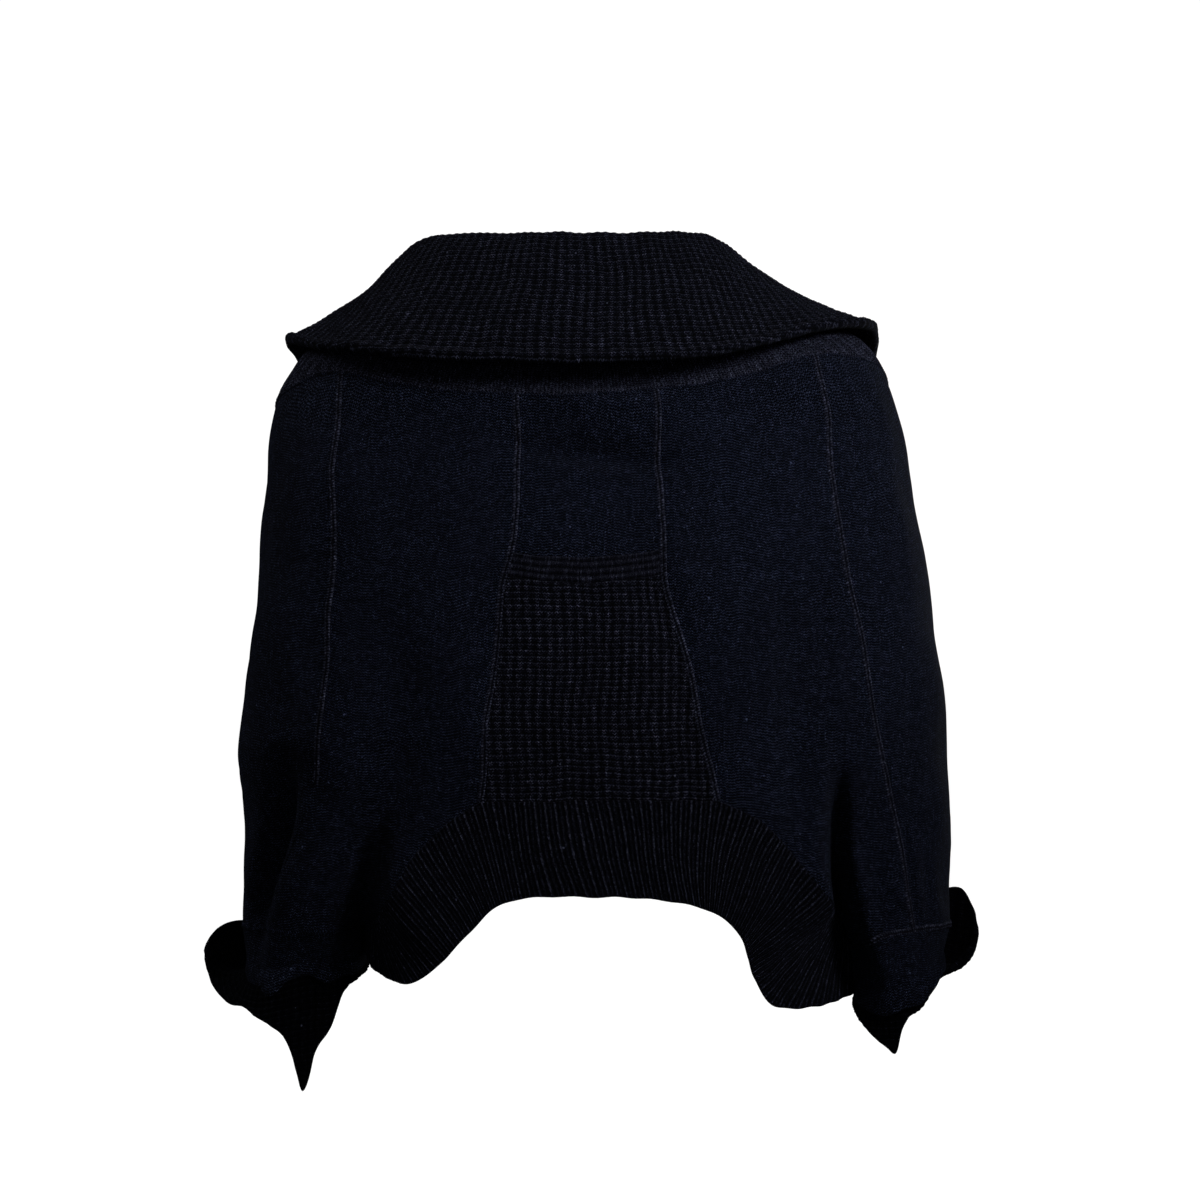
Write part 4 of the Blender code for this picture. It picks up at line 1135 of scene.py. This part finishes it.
# The rolled lip of each sleeve's end: how far out it stands and how far it hangs, round the arm.
LIPS = {
    "left": table(
        "turn out hang",
        (0, 0.5, 1), (0.1, 3, 7), (0.15, 4.5, 6), (0.19, 5.5, 10), (0.24, 2.5, 2), (0.28, 5, 4),
        (0.31, 6, 12), (0.34, 4, 11), (0.37, 1.5, -5), (0.43, 1.5, -6), (0.48, 1.5, 2),
        (0.6, 3, 10), (0.8, 3, 9), (1, 0.5, 1),
    ),
    "right": table(
        "turn out hang",
        (0, 0.5, 1), (0.1, 3, 8), (0.2, 4, 13), (0.3, 4.5, 10), (0.38, 3, 8), (0.5, 2.5, 9),
        (0.75, 3, 9), (1, 0.5, 1),
    ),
}
LIP_START = 0.70  # of the way down the sleeve's end


def lipped_end(side):
    """The end of a sleeve, which rolls over the cuff's seam before it meets it."""

    def place(a, b):
        ring, outward = sleeve_ring(side, a + 0 * b)
        roll = np.clip((b - LIP_START) / (1 - LIP_START), 0, 1) * np.pi
        out = column(LIPS[side], "out", a, "turn") * np.sin(roll)
        hang = column(LIPS[side], "hang", a, "turn") * np.sin(roll) ** 2
        plain = mix(on_run(SLEEVE_RUNS[side], a), ring, b[..., None])
        return plain + outward * out[..., None] - hang[..., None] * UP

    return place


STAND_ROWS = 0.2  # of the collar's rows; the others go to the fall, which shows


def roll_rows(b):
    return np.interp(b, (0, STAND_ROWS, 1), (0, STAND_SHARE, 1))


def dress():
    wool = {name: knit_material(name) for name in KNITS}
    made = {}

    def sew(node, place, kind, look=None, size=None, **more):
        look = look or kind
        wall = JERSEY_WALL if kind == "jersey" else RIB_WALL
        size = size or FINE_SIZE[look if look in FINE_SIZE else kind]
        made[node] = shell(node, place, wall, size, wool[look], kind, **more)

    for node, low, high, kind, knit in (
        ("back_centre_upper", 0.0, TUCK_ROWS[0], "jersey", None),
        ("back_centre_lower", TUCK_ROWS[1], 1.0, "waffle", waffle),
    ):
        where = rows_of(centre_where, low, high)
        sew(node, on_cloth(where), kind, knit=knit, uv=down_the_wales(where))
    where = rows_of(centre_where, *TUCK_ROWS)
    sew("back_tuck_band", on_cloth(where), "jersey", "tuck", knit=tucks)

    for side, sign in SIDES.items():
        panels = {
            "back": ("back_side", ("centre", side), ("outer", side)),
            "sleeve": ("sleeve", ("outer", side), ("front", side)),
            "front": ("front", ("neck", side), ("front", side)),
        }
        for half, (name, start, end) in panels.items():
            where = panel(EDGES[half, side], start, end)
            sew(f"{name}_{side}", on_cloth(where), "jersey", uv=down_the_wales(where))
        sew(f"sleeve_end_{side}", lipped_end(side), "jersey", size=SLEEVE_END_SIZE)
        oval = SLEEVE_OVAL[side]
        middle = (oval["x"] * sign, oval["y"])
        # The cuffs take the darker copy of the waffle wool, which paints shade on them.
        sew(f"cuff_{side}", cuff_place(side), "waffle", "cuff", knit=waffle, ring=True,
            both=True, free=("bottom",), centre=middle)
        hem = hem_place(FRONT_RUNS[side], HEM_FRONT[side], sign)
        sew(f"hem_band_front_{side}", hem, "rib", knit=rib, free=("bottom",))
        sew(f"front_band_{side}", front_band_place(side), "rib", knit=rib, free=("last",))
    sew("hem_band_back", hem_place(BACK_RUN, HEM_BACK), "rib", knit=rib, free=("bottom",))
    sew("shoulder_yoke", on_cloth(yoke_where), "rib", "yoke", knit=rib,
        uv=down_the_wales(yoke_where), lip=YOKE_LIP)
    sew("collar", collar_place, "waffle", "collar", knit=waffle, facing=1, free=("bottom",),
        coarse=6, spread=roll_rows, lip=COLLAR_LIP, lap=COLLAR_LAP)
    return made, wool


made, wool = dress()

CUTS = {
    # width and length of the flat cut in metres, and its area in square metres
    "collar": (1.24, 0.15, 0.149),
    "shoulder_yoke": (0.86, 0.14, 0.076),
    "back_centre_upper": (0.125, 0.115, 0.0123),
    "back_tuck_band": (0.125, 0.02, 0.0023),
    "back_centre_lower": (0.17, 0.165, 0.0233),
    "back_side_left": (0.15, 0.4, 0.054),
    "back_side_right": (0.15, 0.4, 0.055),
    "sleeve_left": (0.26, 0.41, 0.0967),
    "sleeve_right": (0.26, 0.41, 0.0987),
    "sleeve_end_left": (0.3, 0.066, 0.0138),
    "sleeve_end_right": (0.3, 0.075, 0.0147),
    "cuff_left": (0.3, 0.05, 0.0105),
    "cuff_right": (0.26, 0.05, 0.0087),
    "front_left": (0.16, 0.41, 0.0457),
    "front_right": (0.16, 0.41, 0.0466),
    "front_band_left": (0.04, 0.15, 0.0058),
    "front_band_right": (0.04, 0.15, 0.0058),
    "hem_band_back": (0.56, 0.1, 0.0395),
    "hem_band_front_left": (0.18, 0.075, 0.0106),
    "hem_band_front_right": (0.22, 0.085, 0.0152),
}

HIDDEN_SEAM_SHARE = 0.72  # of the outer left seam, before it sinks into a fold
SLEEVE_STITCH_START = 0.50  # of the way from the underarm point to the outer seam
LINE_POINTS, YOKE_POINTS = 200, 900
YOKE_STITCH = {"half": 0.0012, "lift": 0.8}
going = {node: [] for node in CUTS}  # the seams that each piece carries


def stitch(host, name, theta, drop, yarn="thread", **more):
    going[host].append(coverstitch(f"seam_{name}", theta, drop, wool[yarn], **more))


for side in SIDES:
    for name, host in (("centre", "back_side"), ("outer", "back_side"), ("front", "front")):
        last = HIDDEN_SEAM_SHARE if (name, side) == ("outer", "left") else 1.0
        path = line(name, side, np.linspace(0, last, LINE_POINTS))
        stitch(f"{host}_{side}", f"{name}_{side}", *path.T)
    key = "back", side
    start = mix(EDGES[key]["underarm"], 1.0, SLEEVE_STITCH_START)
    edge = edge_run((key, start, 1.0), (("sleeve", side), 0.0, 1.0))
    name = f"sleeve_end_{side}"
    yarn = "thread" if side == "right" else "jersey"  # the left one lies in shade and gets the darker jersey wool: painted shade
    stitch(name, name, edge["theta"], edge["drop"], yarn)
yoke_ends = (float(line("neck", side, 0.0)[0]) for side in ("right", "left"))
turn = np.linspace(*yoke_ends, YOKE_POINTS)
stitch("shoulder_yoke", "yoke", turn, yoke_drop(turn), "jersey", **YOKE_STITCH)

# ---- stage

scene = bpy.context.scene
WHITE, PAPER_GREY = (1, 1, 1, 1), (0.25, 0.25, 0.25, 1)


def seen_white(tree, lit, glow_kind, end):
    """The shader as it lights the scene, with white added where the camera sees it."""
    ray = tree.nodes.new("ShaderNodeLightPath")
    glow = tree.nodes.new(glow_kind)
    plug(tree, glow, {"Color": WHITE, "Strength": ray.outputs["Is Camera Ray"]})
    both = tree.nodes.new("ShaderNodeAddShader")
    plug(tree, both, {0: lit.outputs[0], 1: glow.outputs[0]})
    plug(tree, tree.nodes[end], {"Surface": both.outputs[0]})


FLOOR_Z, FLOOR_HALF = -0.72, 14.0
floor_mesh = bpy.data.meshes.new("floor")
square = ((-1, -1), (1, -1), (1, 1), (-1, 1))
floor_corners = [(x * FLOOR_HALF, y * FLOOR_HALF, FLOOR_Z) for x, y in square]
floor_mesh.from_pydata(floor_corners, [], [(0, 1, 2, 3)])
floor = bpy.data.objects.new("floor", floor_mesh)
scene.collection.objects.link(floor)
paper = bpy.data.materials.new("paper")
paper.use_nodes = True
matt = paper.node_tree.nodes["Principled BSDF"]
dull = {"Base Color": PAPER_GREY, "Roughness": 0.95, "Specular IOR Level": 0.0}
plug(paper.node_tree, matt, dull)
seen_white(paper.node_tree, matt, "ShaderNodeEmission", "Material Output")
floor_mesh.materials.append(paper)

AMBIENT = 0.05
world = bpy.data.worlds.new("studio")
world.use_nodes = True
sky = world.node_tree.nodes["Background"]
plug(world.node_tree, sky, {"Color": WHITE, "Strength": AMBIENT})
seen_white(world.node_tree, sky, "ShaderNodeBackground", "World Output")
scene.world = world
scene.view_settings.view_transform = "Standard"

LIGHTS = {
    # place, aim, size, power, degrees of spread
    "key": ((-0.75, 1.05, 0.4), (-0.12, 0.1, -0.05), 0.5, 2.05, 66),
    "fill": ((0.2, 2.7, -0.15), (0, 0, -0.25), 0.8, 3.6, 180),
    "top": ((0.0, 0.7, 1.9), (0, 0, 0), 1.0, 4, 180),
    "rim_left": ((1.5, -0.3, 0.8), (0.3, 0, -0.05), 0.8, 3.2, 100),
    "rim_right": ((-1.4, -1.9, 0.0), (-0.2, 0, -0.3), 0.8, 7, 180),
}
for name, (place, aim, size, power, spread) in LIGHTS.items():
    light = bpy.data.lights.new(name, "AREA")
    light.shape = "DISK"
    light.size = size
    light.energy = power
    light.spread = math.radians(spread)
    lamp = bpy.data.objects.new(name, light)
    lamp.location = place
    lamp.rotation_mode = "QUATERNION"
    lamp.rotation_quaternion = (Vector(aim) - Vector(place)).to_track_quat("-Z", "Y")
    scene.collection.objects.link(lamp)

# The camera stands behind the wearer and sees this width of the plane through the origin.
VIEW_DISTANCE, VIEW_WIDTH, SENSOR_WIDTH = 2.1, 0.912, 36
camera = bpy.data.objects.new("camera", bpy.data.cameras.new("camera"))
camera.location = (-0.007, VIEW_DISTANCE, -0.228)
camera.rotation_euler = (math.pi / 2, 0, math.pi)
camera.data.sensor_width = SENSOR_WIDTH
camera.data.lens = SENSOR_WIDTH * VIEW_DISTANCE / VIEW_WIDTH
scene.collection.objects.link(camera)
scene.camera = camera
